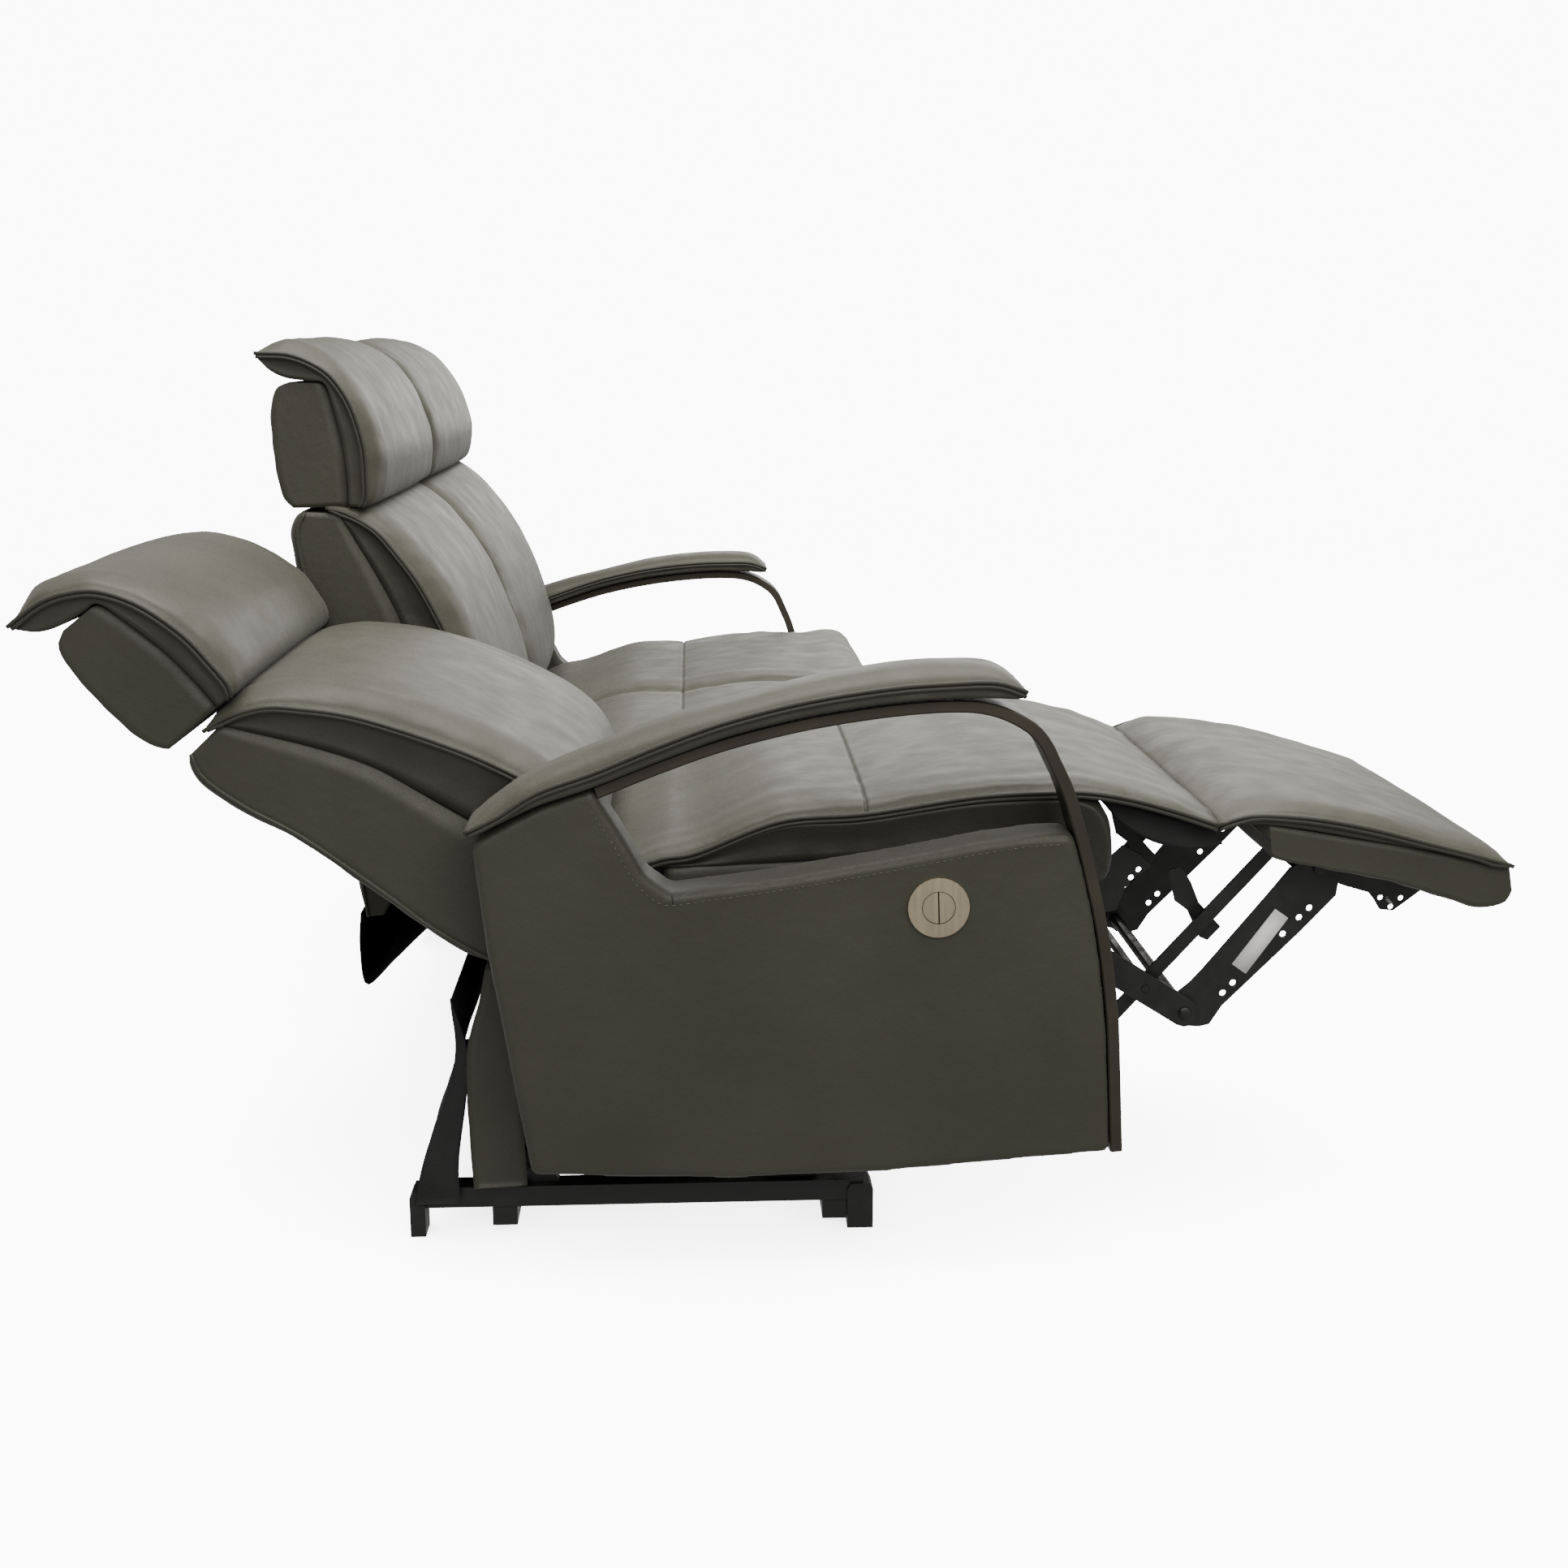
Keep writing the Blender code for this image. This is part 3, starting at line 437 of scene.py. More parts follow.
def cushion(rows, ys, step=7 * MM, edge=0.034, tight=0.72, folds=3.4, puckers=2.3, tuck=5 * MM,
            welts=2, seams=(), seed=0.0, ends=(0.03, 0.03), flange=4 * MM):
    """A stuffed form lofted along (base, edge, crown) points of a side view.

    The panel runs from edge to edge over the crown, the band goes down to the base, and the welts
    follow the edges. A flange beside the welt stays flat, and past it the panel rises over edge.
    Folds and puckers are the depths of the creases in mm, and ends are how far the panel's two ends
    take to reach full height. Each of seams is the x of a sewn channel.
    """
    base = [Vector((r[0][0], 0, r[0][1])) for r in rows]
    rim = [Vector((r[1][0], 0, r[1][1])) for r in rows]
    crown = [Vector((r[2][0], 0, r[2][1])) for r in rows]
    steps, total, marks = steps_along(rim, step, seams)
    across = stations(ys[0], ys[1], step * 1.6)
    half = abs(ys[1] - ys[0]) / 2
    middle = (ys[0] + ys[1]) / 2
    skin = Skin()
    loops = []
    edges = ([], [])
    for t, along in steps:
        b, p, c = (smooth_line(line, t) for line in (base, rim, crown))
        lift = c - p
        out = lift.normalized() if lift.length > 1e-5 else Vector((0, 0, 1))
        end_rise = 1.0
        if ends[0]:
            end_rise *= quarter((along + 2 * MM) / ends[0])
        if ends[1]:
            end_rise *= quarter((total - along + 2 * MM) / ends[1])
        panel = []
        for y in across:
            inside = half - abs(y - middle)
            rise = tight * quarter((inside - flange) / edge)
            rise += (1 - tight) * (1 - (1 - inside / half) ** 2)
            fade = quarter(inside / FADE_IN)
            side = seed + (y > middle) * 7
            wave = creases(along, inside, y, seed, side, folds, puckers)
            dip = sum(seam_dip(abs(along - mark), y, seed) for mark in marks)
            spot = p + lift * (rise * end_rise) + out * ((wave - dip) * fade * end_rise)
            panel.append(Vector((spot.x, y, spot.z)))
        sides = []
        for k, (y, inward) in enumerate(((ys[0], 1), (ys[1], -1))):
            inward *= 1 if ys[1] > ys[0] else -1
            wall = []
            for f in WALL_SHARES:
                spot = p + (b - p) * f
                inset = tuck * math.sin(math.pi * min(f * 1.15, 1.0) * 0.72)
                inset += WALL_UNEVEN * noise.noise(Vector((along * 26, f * 2.2, seed + 11 + k)))
                wall.append(Vector((spot.x, y + inward * max(inset, WELT_SINK), spot.z)))
            sides.append(wall)
            edges[k].append((p, b, y))
        loops.append(list(reversed(sides[0])) + panel + sides[1])
    panel_columns = range(len(WALL_SHARES) - 1, len(WALL_SHARES) + len(across))
    rows_start = len(skin.faces)
    # The band's columns get the piece's second material, a darker copy of the leather: painted shade on
    # the sides.
    skin.loft(loops, band=[k for k in range(len(loops[0])) if k not in panel_columns])
    # Rows in a sewn channel get it too: painted shade in the groove.
    for r in range(len(steps) - 1):
        centre = (steps[r][1] + steps[r + 1][1]) / 2
        if any(abs(centre - mark) < SEAM_HALF for mark in marks):
            skin.banded |= {rows_start + r * len(loops[0]) + k for k in panel_columns}
    for k in range(2):
        for n in range(welts):
            path = []
            for p, b, y in edges[k]:
                down = (b - p).normalized() if (b - p).length > 1e-6 else Vector((0, 0, -1))
                out = -1 if k == 0 else 1
                beside = Vector((p.x, y + out * WELT_PROUD, p.z))
                path.append(beside + down * (WELT_SINK + n * WELT_PITCH))
            # Each welt gets it as well: painted shade along the piping.
            start = len(skin.faces)
            skin.tube(path, WELT_RADIUS)
            skin.banded |= set(range(start, len(skin.faces)))
    return skin


def finish_piece(piece, body, replaces=()):
    """Puts a piece on its body and hides the CAD nodes that it stands for."""
    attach(piece, body)
    if replaces:
        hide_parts(*replaces)


# ---- side-view rows of (base, edge, crown) ----
SEAT_BODY = [
    ((-0.262, 0.358), (-0.264, 0.372), (-0.265, 0.376)),
    ((-0.244, 0.368), (-0.246, 0.386), (-0.246, 0.389)),
    ((-0.222, 0.385), (-0.224, 0.399), (-0.224, 0.401)),
    ((-0.190, 0.402), (-0.192, 0.406), (-0.192, 0.408)),
    ((-0.130, 0.402), (-0.130, 0.412), (-0.130, 0.418)),
    ((-0.034, 0.402), (-0.034, 0.444), (-0.034, 0.452)),
    ((0.066, 0.402), (0.066, 0.447), (0.066, 0.457)),
    ((0.192, 0.402), (0.192, 0.460), (0.192, 0.470)),
    ((0.285, 0.402), (0.290, 0.460), (0.292, 0.470)),
    ((0.300, 0.398), (0.325, 0.452), (0.330, 0.461)),
    ((0.303, 0.385), (0.341, 0.434), (0.350, 0.440)),
    ((0.304, 0.372), (0.347, 0.403), (0.357, 0.405)),
    ((0.304, 0.362), (0.341, 0.366), (0.350, 0.362)),
    ((0.302, 0.356), (0.322, 0.352), (0.325, 0.350)),
]
COVER_EDGE = [
    (-0.266, 0.380), (-0.238, 0.394), (-0.205, 0.405), (-0.170, 0.4145), (-0.130, 0.420),
    (-0.034, 0.452), (0.066, 0.456), (0.192, 0.4695), (0.290, 0.470),
]
COVER_LIFT = [0.003, 0.005, 0.008, 0.012, 0.016, 0.019, 0.021, 0.021, 0.018]
# rows of (edge, crown's offset from the edge)
BRIDGE = [
    ((0.330, 0.467), (0.002, 0.015)),
    ((0.375, 0.457), (0.003, 0.012)),
    ((0.425, 0.441), (0.003, 0.010)),
    ((0.476, 0.4215), (0.002, 0.004)),
]
NOSE = [
    ((0.322, 0.466), (0.004, 0.015)),
    ((0.345, 0.453), (0.011, 0.008)),
    ((0.356, 0.430), (0.014, 0.002)),
    ((0.359, 0.402), (0.013, -0.002)),
    ((0.361, 0.372), (0.008, -0.002)),
]
BACK_ROWS = [
    ((-0.288, 0.412), (-0.244, 0.402), (-0.226, 0.404)),
    ((-0.288, 0.430), (-0.230, 0.426), (-0.206, 0.428)),
    ((-0.290, 0.470), (-0.222, 0.470), (-0.186, 0.470)),
    ((-0.295, 0.520), (-0.221, 0.524), (-0.187, 0.522)),
    ((-0.305, 0.570), (-0.233, 0.572), (-0.199, 0.574)),
    ((-0.318, 0.625), (-0.2487, 0.6148), (-0.214, 0.622)),
    ((-0.335, 0.680), (-0.275, 0.675), (-0.236, 0.679)),
    ((-0.357, 0.730), (-0.3015, 0.7262), (-0.262, 0.728)),
    ((-0.378, 0.768), (-0.331, 0.768), (-0.292, 0.770)),
    ((-0.393, 0.795), (-0.3566, 0.798), (-0.322, 0.803)),
    ((-0.403, 0.812), (-0.394, 0.822), (-0.366, 0.834)),
    ((-0.409, 0.820), (-0.426, 0.831), (-0.410, 0.843)),
]
SHELL_ROWS = [
    ((-0.290, 0.440), (-0.416, 0.450), (-0.428, 0.450)),
    ((-0.294, 0.500), (-0.425, 0.500), (-0.436, 0.500)),
    ((-0.310, 0.580), (-0.430, 0.560), (-0.444, 0.560)),
    ((-0.3285, 0.664), (-0.443, 0.669), (-0.457, 0.669)),
    ((-0.357, 0.728), (-0.460, 0.740), (-0.474, 0.740)),
    ((-0.390, 0.788), (-0.466, 0.795), (-0.480, 0.797)),
    ((-0.409, 0.822), (-0.455, 0.824), (-0.468, 0.826)),
]
SHELL_END = [((-0.306, 0.408), (-0.405, 0.411), (-0.411, 0.411))]
SHELL_FIXED = [
    ((-0.372, 0.238), (-0.395, 0.236), (-0.402, 0.236)),
    ((-0.332, 0.310), (-0.402, 0.300), (-0.411, 0.300)),
    ((-0.331, 0.408), (-0.409, 0.400), (-0.419, 0.400)),
]
HEAD_ROWS = [
    ((-0.508, 1.034), (-0.512, 1.042), (-0.511, 1.048)),
    ((-0.492, 1.018), (-0.492, 1.042), (-0.490, 1.058)),
    ((-0.470, 1.008), (-0.465, 1.040), (-0.468, 1.064)),
    ((-0.440, 1.004), (-0.437, 1.030), (-0.432, 1.051)),
    ((-0.419, 1.000), (-0.408, 1.010), (-0.396, 1.024)),
    ((-0.408, 0.965), (-0.383, 0.970), (-0.362, 0.976)),
    ((-0.398, 0.915), (-0.368, 0.915), (-0.339, 0.912)),
    ((-0.394, 0.870), (-0.366, 0.870), (-0.340, 0.868)),
    ((-0.394, 0.842), (-0.367, 0.842), (-0.350, 0.841)),
    ((-0.394, 0.832), (-0.374, 0.831), (-0.366, 0.8305)),
]
HEAD_BOX = [
    ((-0.396, 0.832), (-0.470, 0.830), (-0.478, 0.830)),
    ((-0.396, 0.860), (-0.482, 0.850), (-0.490, 0.850)),
    ((-0.396, 0.904), (-0.490, 0.893), (-0.498, 0.893)),
    ((-0.408, 0.960), (-0.492, 0.955), (-0.500, 0.955)),
    ((-0.4205, 0.996), (-0.485, 0.990), (-0.492, 0.992)),
    ((-0.430, 1.002), (-0.470, 1.002), (-0.474, 1.003)),
]
FOOT_ROWS = [
    ((0.4765, 0.4135), (0.4765, 0.4220), (0.4775, 0.426)),
    ((0.500, 0.4185), (0.497, 0.4285), (0.498, 0.439)),
    ((0.530, 0.4185), (0.519, 0.4308), (0.522, 0.446)),
    ((0.570, 0.412), (0.565, 0.427), (0.567, 0.445)),
    ((0.610, 0.4035), (0.610, 0.4193), (0.612, 0.437)),
    ((0.665, 0.391), (0.665, 0.4055), (0.668, 0.423)),
    ((0.720, 0.379), (0.7165, 0.3892), (0.720, 0.406)),
    ((0.775, 0.367), (0.772, 0.372), (0.776, 0.387)),
    ((0.812, 0.357), (0.8145, 0.3585), (0.818, 0.369)),
    ((0.820, 0.353), (0.8265, 0.3535), (0.830, 0.357)),
]
BOARD_ROWS = [
    ((0.537, 0.416), (0.539, 0.395), (0.5395, 0.392)),
    ((0.545, 0.415), (0.545, 0.378), (0.546, 0.373)),
    ((0.600, 0.403), (0.600, 0.362), (0.600, 0.356)),
    ((0.670, 0.3885), (0.670, 0.346), (0.670, 0.340)),
    ((0.740, 0.373), (0.740, 0.324), (0.740, 0.318)),
    ((0.790, 0.362), (0.790, 0.306), (0.790, 0.300)),
    ((0.818, 0.356), (0.820, 0.309), (0.8215, 0.304)),
    ((0.824, 0.355), (0.829, 0.322), (0.8305, 0.320)),
]
APRON_ROWS = [
    ((0.3655, 0.366), (0.372, 0.366), (0.374, 0.367)),
    ((0.3655, 0.350), (0.390, 0.352), (0.402, 0.352)),
    ((0.3655, 0.280), (0.394, 0.280), (0.414, 0.280)),
    ((0.3655, 0.200), (0.392, 0.200), (0.416, 0.200)),
    ((0.3655, 0.120), (0.388, 0.120), (0.410, 0.120)),
    ((0.3655, 0.075), (0.384, 0.075), (0.402, 0.073)),
    ((0.3655, 0.064), (0.378, 0.063), (0.384, 0.062)),
]
PAD_ROWS = [
    ((-0.379, 0.477), (-0.382, 0.482), (-0.381, 0.490)),
    ((-0.345, 0.489), (-0.345, 0.498), (-0.345, 0.515)),
    ((-0.300, 0.508), (-0.300, 0.523), (-0.309, 0.536)),
    ((-0.235, 0.527), (-0.236, 0.543), (-0.242, 0.562)),
    ((-0.160, 0.553), (-0.161, 0.570), (-0.168, 0.586)),
    ((-0.088, 0.575), (-0.089, 0.592), (-0.094, 0.604)),
    ((0.000, 0.593), (-0.001, 0.610), (-0.002, 0.624)),
    ((0.090, 0.603), (0.089, 0.620), (0.088, 0.637)),
    ((0.155, 0.605), (0.154, 0.622), (0.152, 0.640)),
    ((0.200, 0.603), (0.200, 0.621), (0.198, 0.637)),
    ((0.225, 0.601), (0.226, 0.613), (0.224, 0.624)),
    ((0.234, 0.603), (0.236, 0.608), (0.236, 0.612)),
]


def lifted(line, lifts, thickness=8 * MM):
    """Rows where the crown stands straight above the edge."""
    return [((x, z - thickness), (x, z), (x, z + lift)) for (x, z), lift in zip(line, lifts)]


def carried(line, thickness=8 * MM):
    """Rows where the crown is an offset from the edge, and the base lies on the other side of it."""
    rows = []
    for (x, z), (dx, dz) in line:
        away = Vector((dx, dz)).normalized() * thickness
        rows.append(((x - away.x, z - away.y), (x, z), (x + dx, z + dz)))
    return rows


# ---- the seats ----
SEAT_SEAM = 0.066
BEND_START = 0.30           # the leather between seat and footrest bends over this stretch
BEND_END = 0.50
BOARD_INSET = 7 * MM


def fold_forward(skin, start, end, angle):
    """Turns the part beyond start about the footrest's hinge, by the whole angle from end on."""
    for spot in skin.points:
        share = smooth_step((spot.x - start) / (end - start))
        turned = Matrix.Rotation(angle * share, 4, "Y") @ (spot - FOOT_HINGE)
        spot.xyz = turned + FOOT_HINGE


def seat_parts(seat, seed):
    """The seat's stuffed body, the cover on it, and what goes on from the cover's front."""
    name, ys = seat.name, seat.ys
    body = cushion(SEAT_BODY, ys, welts=0, tuck=6 * MM, seed=seed, ends=(0, 0.02), folds=1.0)
    # The stuffed body under the cover is all in the darkest leather, as painted shade.
    piece = body.piece(name + "_seat_pad", HIDE_BAND_PAINTED_SHADE, seat.seat)
    finish_piece(piece, seat.bodies["seat"], [name + "_seat_cushion"])
    rows = lifted(COVER_EDGE, COVER_LIFT) + carried(NOSE if seat.fixed else BRIDGE)
    cover = cushion(rows, ys, seams=(SEAT_SEAM,), seed=seed + 1, ends=(0.03, 0), edge=0.045)
    if seat.fixed:
        piece = cover.piece(name + "_seat_cover", HIDE, seat.seat, HIDE_BAND_PAINTED_SHADE)
        finish_piece(piece, "base")
        apron = cushion(APRON_ROWS, (ys[0] + 4 * MM, ys[1] - 4 * MM), welts=1, seed=seed + 2)
        piece = apron.piece(name + "_apron", HIDE, seat.seat, HIDE_BAND_PAINTED_SHADE)
        finish_piece(piece, "base")
    else:
        if seat is FAR:
            fold_forward(cover, BEND_START, BEND_END, FOOT_FOLD)
        piece = cover.piece(name + "_seat_cover", HIDE, seat.seat, HIDE_BAND_PAINTED_SHADE)
        crossing(piece)
        footrest_parts(seat, seed + 4)


def crossing(piece):
    """Bakes where a piece between the seat and the footrest stands into its own mesh."""
    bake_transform(piece)


def footrest_parts(seat, seed):
    name, ys = seat.name, seat.ys
    pad = cushion(FOOT_ROWS, ys, seed=seed, ends=(0.02, 0.02), folds=1.2, edge=0.05)
    piece = pad.piece(name + "_footrest_cushion", HIDE, seat.foot, HIDE_BAND_PAINTED_SHADE)
    finish_piece(piece, seat.bodies["foot"], [name + "_footrest_pad"])
    board_ys = (ys[0] + BOARD_INSET, ys[1] - BOARD_INSET)
    board = cushion(BOARD_ROWS, board_ys, welts=0, tuck=-7 * MM, edge=0.030, tight=0.9, seed=seed + 2,
                    ends=(0.014, 0.014), folds=1.2, flange=0)
    piece = board.piece(name + "_footrest_panel", HIDE_PANEL_PAINTED_SHADE, seat.foot)
    finish_piece(piece, seat.bodies["foot"], [name + "_footrest_board"])


def back_parts(seat, seed):
    name, ys = seat.name, seat.ys
    pad = cushion(BACK_ROWS, ys, seed=seed, edge=0.055, tight=0.66, tuck=7 * MM, ends=(0.03, 0.018))
    piece = pad.piece(name + "_back_pad", HIDE, seat.back, HIDE_BAND_PAINTED_SHADE)
    finish_piece(piece, seat.bodies["back"], [name + "_back_cushion"])
    rows = (SHELL_FIXED if seat.fixed else SHELL_END) + SHELL_ROWS
    shell = cushion(rows, ys, welts=1, tuck=-6 * MM, edge=0.026, tight=0.92, seed=seed + 3, folds=1.4,
                    ends=(0.012, 0.015), flange=0)
    piece = shell.piece(name + "_back_cover", HIDE_PANEL_PAINTED_SHADE, seat.back)
    finish_piece(piece, seat.bodies["back"], [name + "_back_shell"])


def head_parts(seat, seed):
    name, ys = seat.name, seat.ys
    flap = cushion(HEAD_ROWS, ys, seed=seed, edge=0.050, ends=(0.02, 0.010), folds=2.6)
    piece = flap.piece(name + "_headrest_flap", HIDE, seat.head, HIDE_BAND_PAINTED_SHADE)
    finish_piece(piece, seat.bodies["head"], [name + "_headrest_cushion"])
    inset = 9 * MM
    box = cushion(HEAD_BOX, (ys[0] + inset, ys[1] - inset), welts=0, tuck=-6 * MM, edge=0.024, tight=0.95,
                  seed=seed + 2, folds=1.2, ends=(0.012, 0.015), flange=0)
    piece = box.piece(name + "_headrest_box", HIDE_PANEL_PAINTED_SHADE, seat.head)
    finish_piece(piece, seat.bodies["head"], [name + "_headrest_shell"])


for number, each in enumerate(SEATS):
    seat_parts(each, 10.0 + 20 * number)
    back_parts(each, 15.0 + 20 * number)
    head_parts(each, 19.0 + 20 * number)


# ---- rounded copies of upholstered CAD solids ----
def softened(node, name, material, voxel=6 * MM, smooth=6, waves=0.8):
    """A copy of a CAD solid with rounded, slightly uneven leather surfaces."""
    mesh = NODES[node].data.copy()
    mesh.name = name
    work = bmesh.new()
    work.from_mesh(mesh)
    bmesh.ops.remove_doubles(work, verts=work.verts, dist=0.01 * MM)
    work.to_mesh(mesh)
    work.free()
    piece = bpy.data.objects.new(name, mesh)
    bpy.context.scene.collection.objects.link(piece)
    remesh = piece.modifiers.new("remesh", "REMESH")
    remesh.mode = "VOXEL"
    remesh.voxel_size = voxel
    relax = piece.modifiers.new("relax", "SMOOTH")
    relax.factor = 0.5
    relax.iterations = smooth
    bpy.context.view_layer.update()
    final = bpy.data.meshes.new_from_object(piece.evaluated_get(bpy.context.evaluated_depsgraph_get()))
    piece.modifiers.clear()
    piece.data = final
    final.materials.clear()
    final.materials.append(material)
    normals = [vertex.normal.copy() for vertex in final.vertices]
    for vertex, normal in zip(final.vertices, normals):
        height = noise.noise(vertex.co * 9) + 0.4 * noise.noise(vertex.co * 31)
        vertex.co += normal * waves * MM * height
    final.shade_smooth()
    return piece


def arm_parts(seat):
    name = seat.name
    panel = softened(name + "_arm_panel", name + "_arm_cover", HIDE_PANEL_PAINTED_SHADE, 5 * MM, 5)
    finish_piece(panel, seat.bodies["seat"], [name + "_arm_panel"])
    side = seat.side
    pad = cushion(PAD_ROWS, (side * PAD_OUT, side * PAD_IN), step=6 * MM, edge=0.036, tight=0.85,
                  flange=1 * MM, tuck=1 * MM, seed=side * 5.0, ends=(0.03, 0.02), folds=0.8, puckers=0.5)
    piece = pad.piece(name + "_arm_cushion", HIDE, seat.seat, HIDE_BAND_PAINTED_SHADE)
    finish_piece(piece, seat.bodies["seat"], [name + "_arm_pad"])


BAR_LINE = [
    (-0.235, 0.5092), (-0.160, 0.5355), (-0.088, 0.557), (0.0, 0.5745), (0.09, 0.5845),
    (0.16, 0.5862), (0.20, 0.580), (0.232, 0.564), (0.25, 0.546), (0.2625, 0.520), (0.2762, 0.488),
    (0.2885, 0.4448), (0.2995, 0.397), (0.3104, 0.3435), (0.3182, 0.2903), (0.3232, 0.2415),
    (0.3257, 0.2017), (0.329, 0.061),
]
BAR_THICK = 0.014
BAR_DEPTHS = (0.003, 0.063)


def bar(seat):
    """The bent flat bar of the arm, with eased edges."""
    points = [Vector((x, 0, z)) for x, z in BAR_LINE]
    steps, _, _ = steps_along(points, 9 * MM)
    ease = 1.6 * MM
    low, high = BAR_DEPTHS
    section = [(0, low + ease), (0, high - ease), (ease, high), (BAR_THICK - ease, high)]
    section += [(BAR_THICK, high - ease), (BAR_THICK, low + ease), (BAR_THICK - ease, low), (ease, low)]
    rows = []
    for t, _ in steps:
        spot = smooth_line(points, t)
        left = side_normal(points, t, 0.02)
        rows.append([spot + left * out + Vector((0, depth_y(seat, depth), 0)) for out, depth in section])
    skin = Skin()
    skin.loft(rows)
    piece = skin.piece(seat.name + "_arm_flat_bar", BRONZE, seat.seat)
    piece.data.set_sharp_from_angle(angle=math.radians(30))
    finish_piece(piece, seat.bodies["seat"], [seat.name + "_arm_bar"])


for each in END_SEATS:
    arm_parts(each)
    bar(each)

for each in SEATS:
    box = softened(each.name + "_seat_box", each.name + "_seat_box_cover", HIDE_PANEL_PAINTED_SHADE, 6 * MM, 5)
    finish_piece(box, each.bodies["seat"], [each.name + "_seat_box"])


# ---- sheets: rear skirts and dust cloths ----
def hanging(line, ys, thickness=2.2 * MM, waves=7.0, seed=0.0, step=9 * MM, wing=0.0, gusset=False):
    """A sheet that follows a side-view line and hangs in soft folds that grow towards its lower end.

    A wing is cloth that turns the corner at the first of ys and runs forward. A gusset wing is
    a triangle, which starts from nothing at the top.
    """
    points = [Vector((x, 0, z)) for x, z in line]
    steps, total, _ = steps_along(points, step)
    width = abs(ys[1] - ys[0])
    count = round((width + wing) / step)
    onward = 1 if ys[1] > ys[0] else -1
    skin = Skin()
    loops = []
    for t, along in steps:
        spot = smooth_line(points, t)
        normal = side_normal(points, t, 0.05)
        share = along / total
        front = []
        for i in range(count + 1):
            f = i / count
            run = f * (width + wing) - wing
            y = ys[0] + onward * max(run, 0.0)
            bent = max(-run, 0.0) * (share if gusset else 1.0)
            wave = waves * MM * share * noise.noise(Vector((f * 7 + seed, share * 1.6, seed)))
            wave += 0.35 * waves * MM * share * noise.noise(Vector((f * 19 + seed, share * 5, seed + 4)))
            side = smooth_step((6 * MM - run) / (12 * MM)) if wing else 0.0
            out = normal * (1 - side) + Vector((0, -onward, 0)) * side
            front.append((Vector((spot.x + bent, y, spot.z)) + out * (wave - side * 4 * MM), out))
        back = [p + out * thickness for p, out in reversed(front)]
        front = [p for p, out in front]
        loops.append(front + back)
    skin.loft(loops)
    return skin


SKIRT_LOW = [(-0.4190, 0.075), (-0.4190, 0.014)]
SKIRT_RECLINED = [(-0.385, 0.288), (-0.396, 0.245), (-0.411, 0.1965), (-0.4165, 0.1346), *SKIRT_LOW]
SKIRT_UPRIGHT = [(-0.409, 0.404), (-0.4135, 0.32), (-0.416, 0.22), (-0.4175, 0.1346), *SKIRT_LOW]
SKIRT_WIDTH = 0.56
SKIRT_WING = 0.065
DUST_CLOTH_RECLINED = [(-0.393, 0.305), (-0.392, 0.224), (-0.434, 0.101), (-0.446, 0.045)]
DUST_CLOTH_UPRIGHT = [(-0.412, 0.285), (-0.424, 0.20), (-0.432, 0.12), (-0.436, 0.045)]
DUST_CLOTH_MIDDLE = [
    (-0.4070, 0.240), (-0.411, 0.185), (-0.403, 0.128), (-0.358, 0.168), (-0.31, 0.215),
    (-0.25, 0.262), (-0.20, 0.322),
]


def skirt(seat):
    """The leather flap that closes the gap under an end seat's back."""
    line = SKIRT_RECLINED if seat is NEAR else SKIRT_UPRIGHT
    middle = sum(seat.ys) / 2
    ys = (middle + seat.side * SKIRT_WIDTH / 2, middle - seat.side * SKIRT_WIDTH / 2)
    skin = hanging(line, ys, seed=seat.side * 3.0, wing=SKIRT_WING)
    piece = skin.piece(seat.name + "_rear_skirt", HIDE_PANEL_PAINTED_SHADE, seat.seat)
    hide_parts(seat.name + "_rear_flap")
    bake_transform(piece)


for each in END_SEATS:
    skirt(each)

CLOTH_WING = 0.055
CLOTH_OUTER = 0.862
CLOTH_INNER = 0.372


def dust_cloth(seat, line, ys, seed, place, wing=0.0):
    """A black cloth that hangs behind a seat, with an optional side gusset at its first edge."""
    skin = hanging(line, ys, thickness=1.2 * MM, waves=5.0, seed=seed, wing=wing, gusset=True)
    piece = skin.piece(seat.name + "_dust_cloth", DUST_CLOTH, place)
    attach(piece, seat.bodies["seat"])
    return piece


dust_cloth(MIDDLE, DUST_CLOTH_MIDDLE, (-0.284, 0.284), 2.0, MIDDLE.seat)
dust_cloth(FAR, DUST_CLOTH_UPRIGHT, (CLOTH_OUTER, CLOTH_INNER), 6.0, FAR.seat)
near_cloth = dust_cloth(
    NEAR, DUST_CLOTH_RECLINED, (-CLOTH_OUTER, -CLOTH_INNER), 4.0, Matrix.Identity(4), CLOTH_WING
)
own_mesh(near_cloth)


# ---- mechanism plates, rivets and small parts ----
LINK_ROOT = Vector((0.2532, 0, 0.3042))
LINK_REACH = Vector((0.2048, 0, -0.1412))
CROSS_SHARE = 0.76
FOOT_PIN = FOOT_HINGE + LINK_REACH
LINK_ELBOW = LINK_ROOT + LINK_REACH
MIRROR_DEPTH = 0.76         # a layer's depth and its twin's on the seat's inner side add up to this
CIRCLE_SIDES = 20


def link_place(seat, share):
    """Where a link that stays parallel to the seat is, with its elbow that far along the lower link."""
    if seat is NEAR:
        return seat.seat
    elbow = LINK_ROOT + LINK_REACH * share
    return seat.seat @ Matrix.Translation(turn(FOOT_FOLD, LINK_ROOT) @ elbow - elbow)


def lower_place(seat):
    return seat.seat if seat is NEAR else seat.seat @ turn(FOOT_FOLD, LINK_ROOT)


def flat_plate(skin, outline, y0, y1):
    """A plate with this side-view outline, between two planes."""
    skin.loft([[Vector((x, y, z)) for x, z in outline] for y in (y0, y1)])


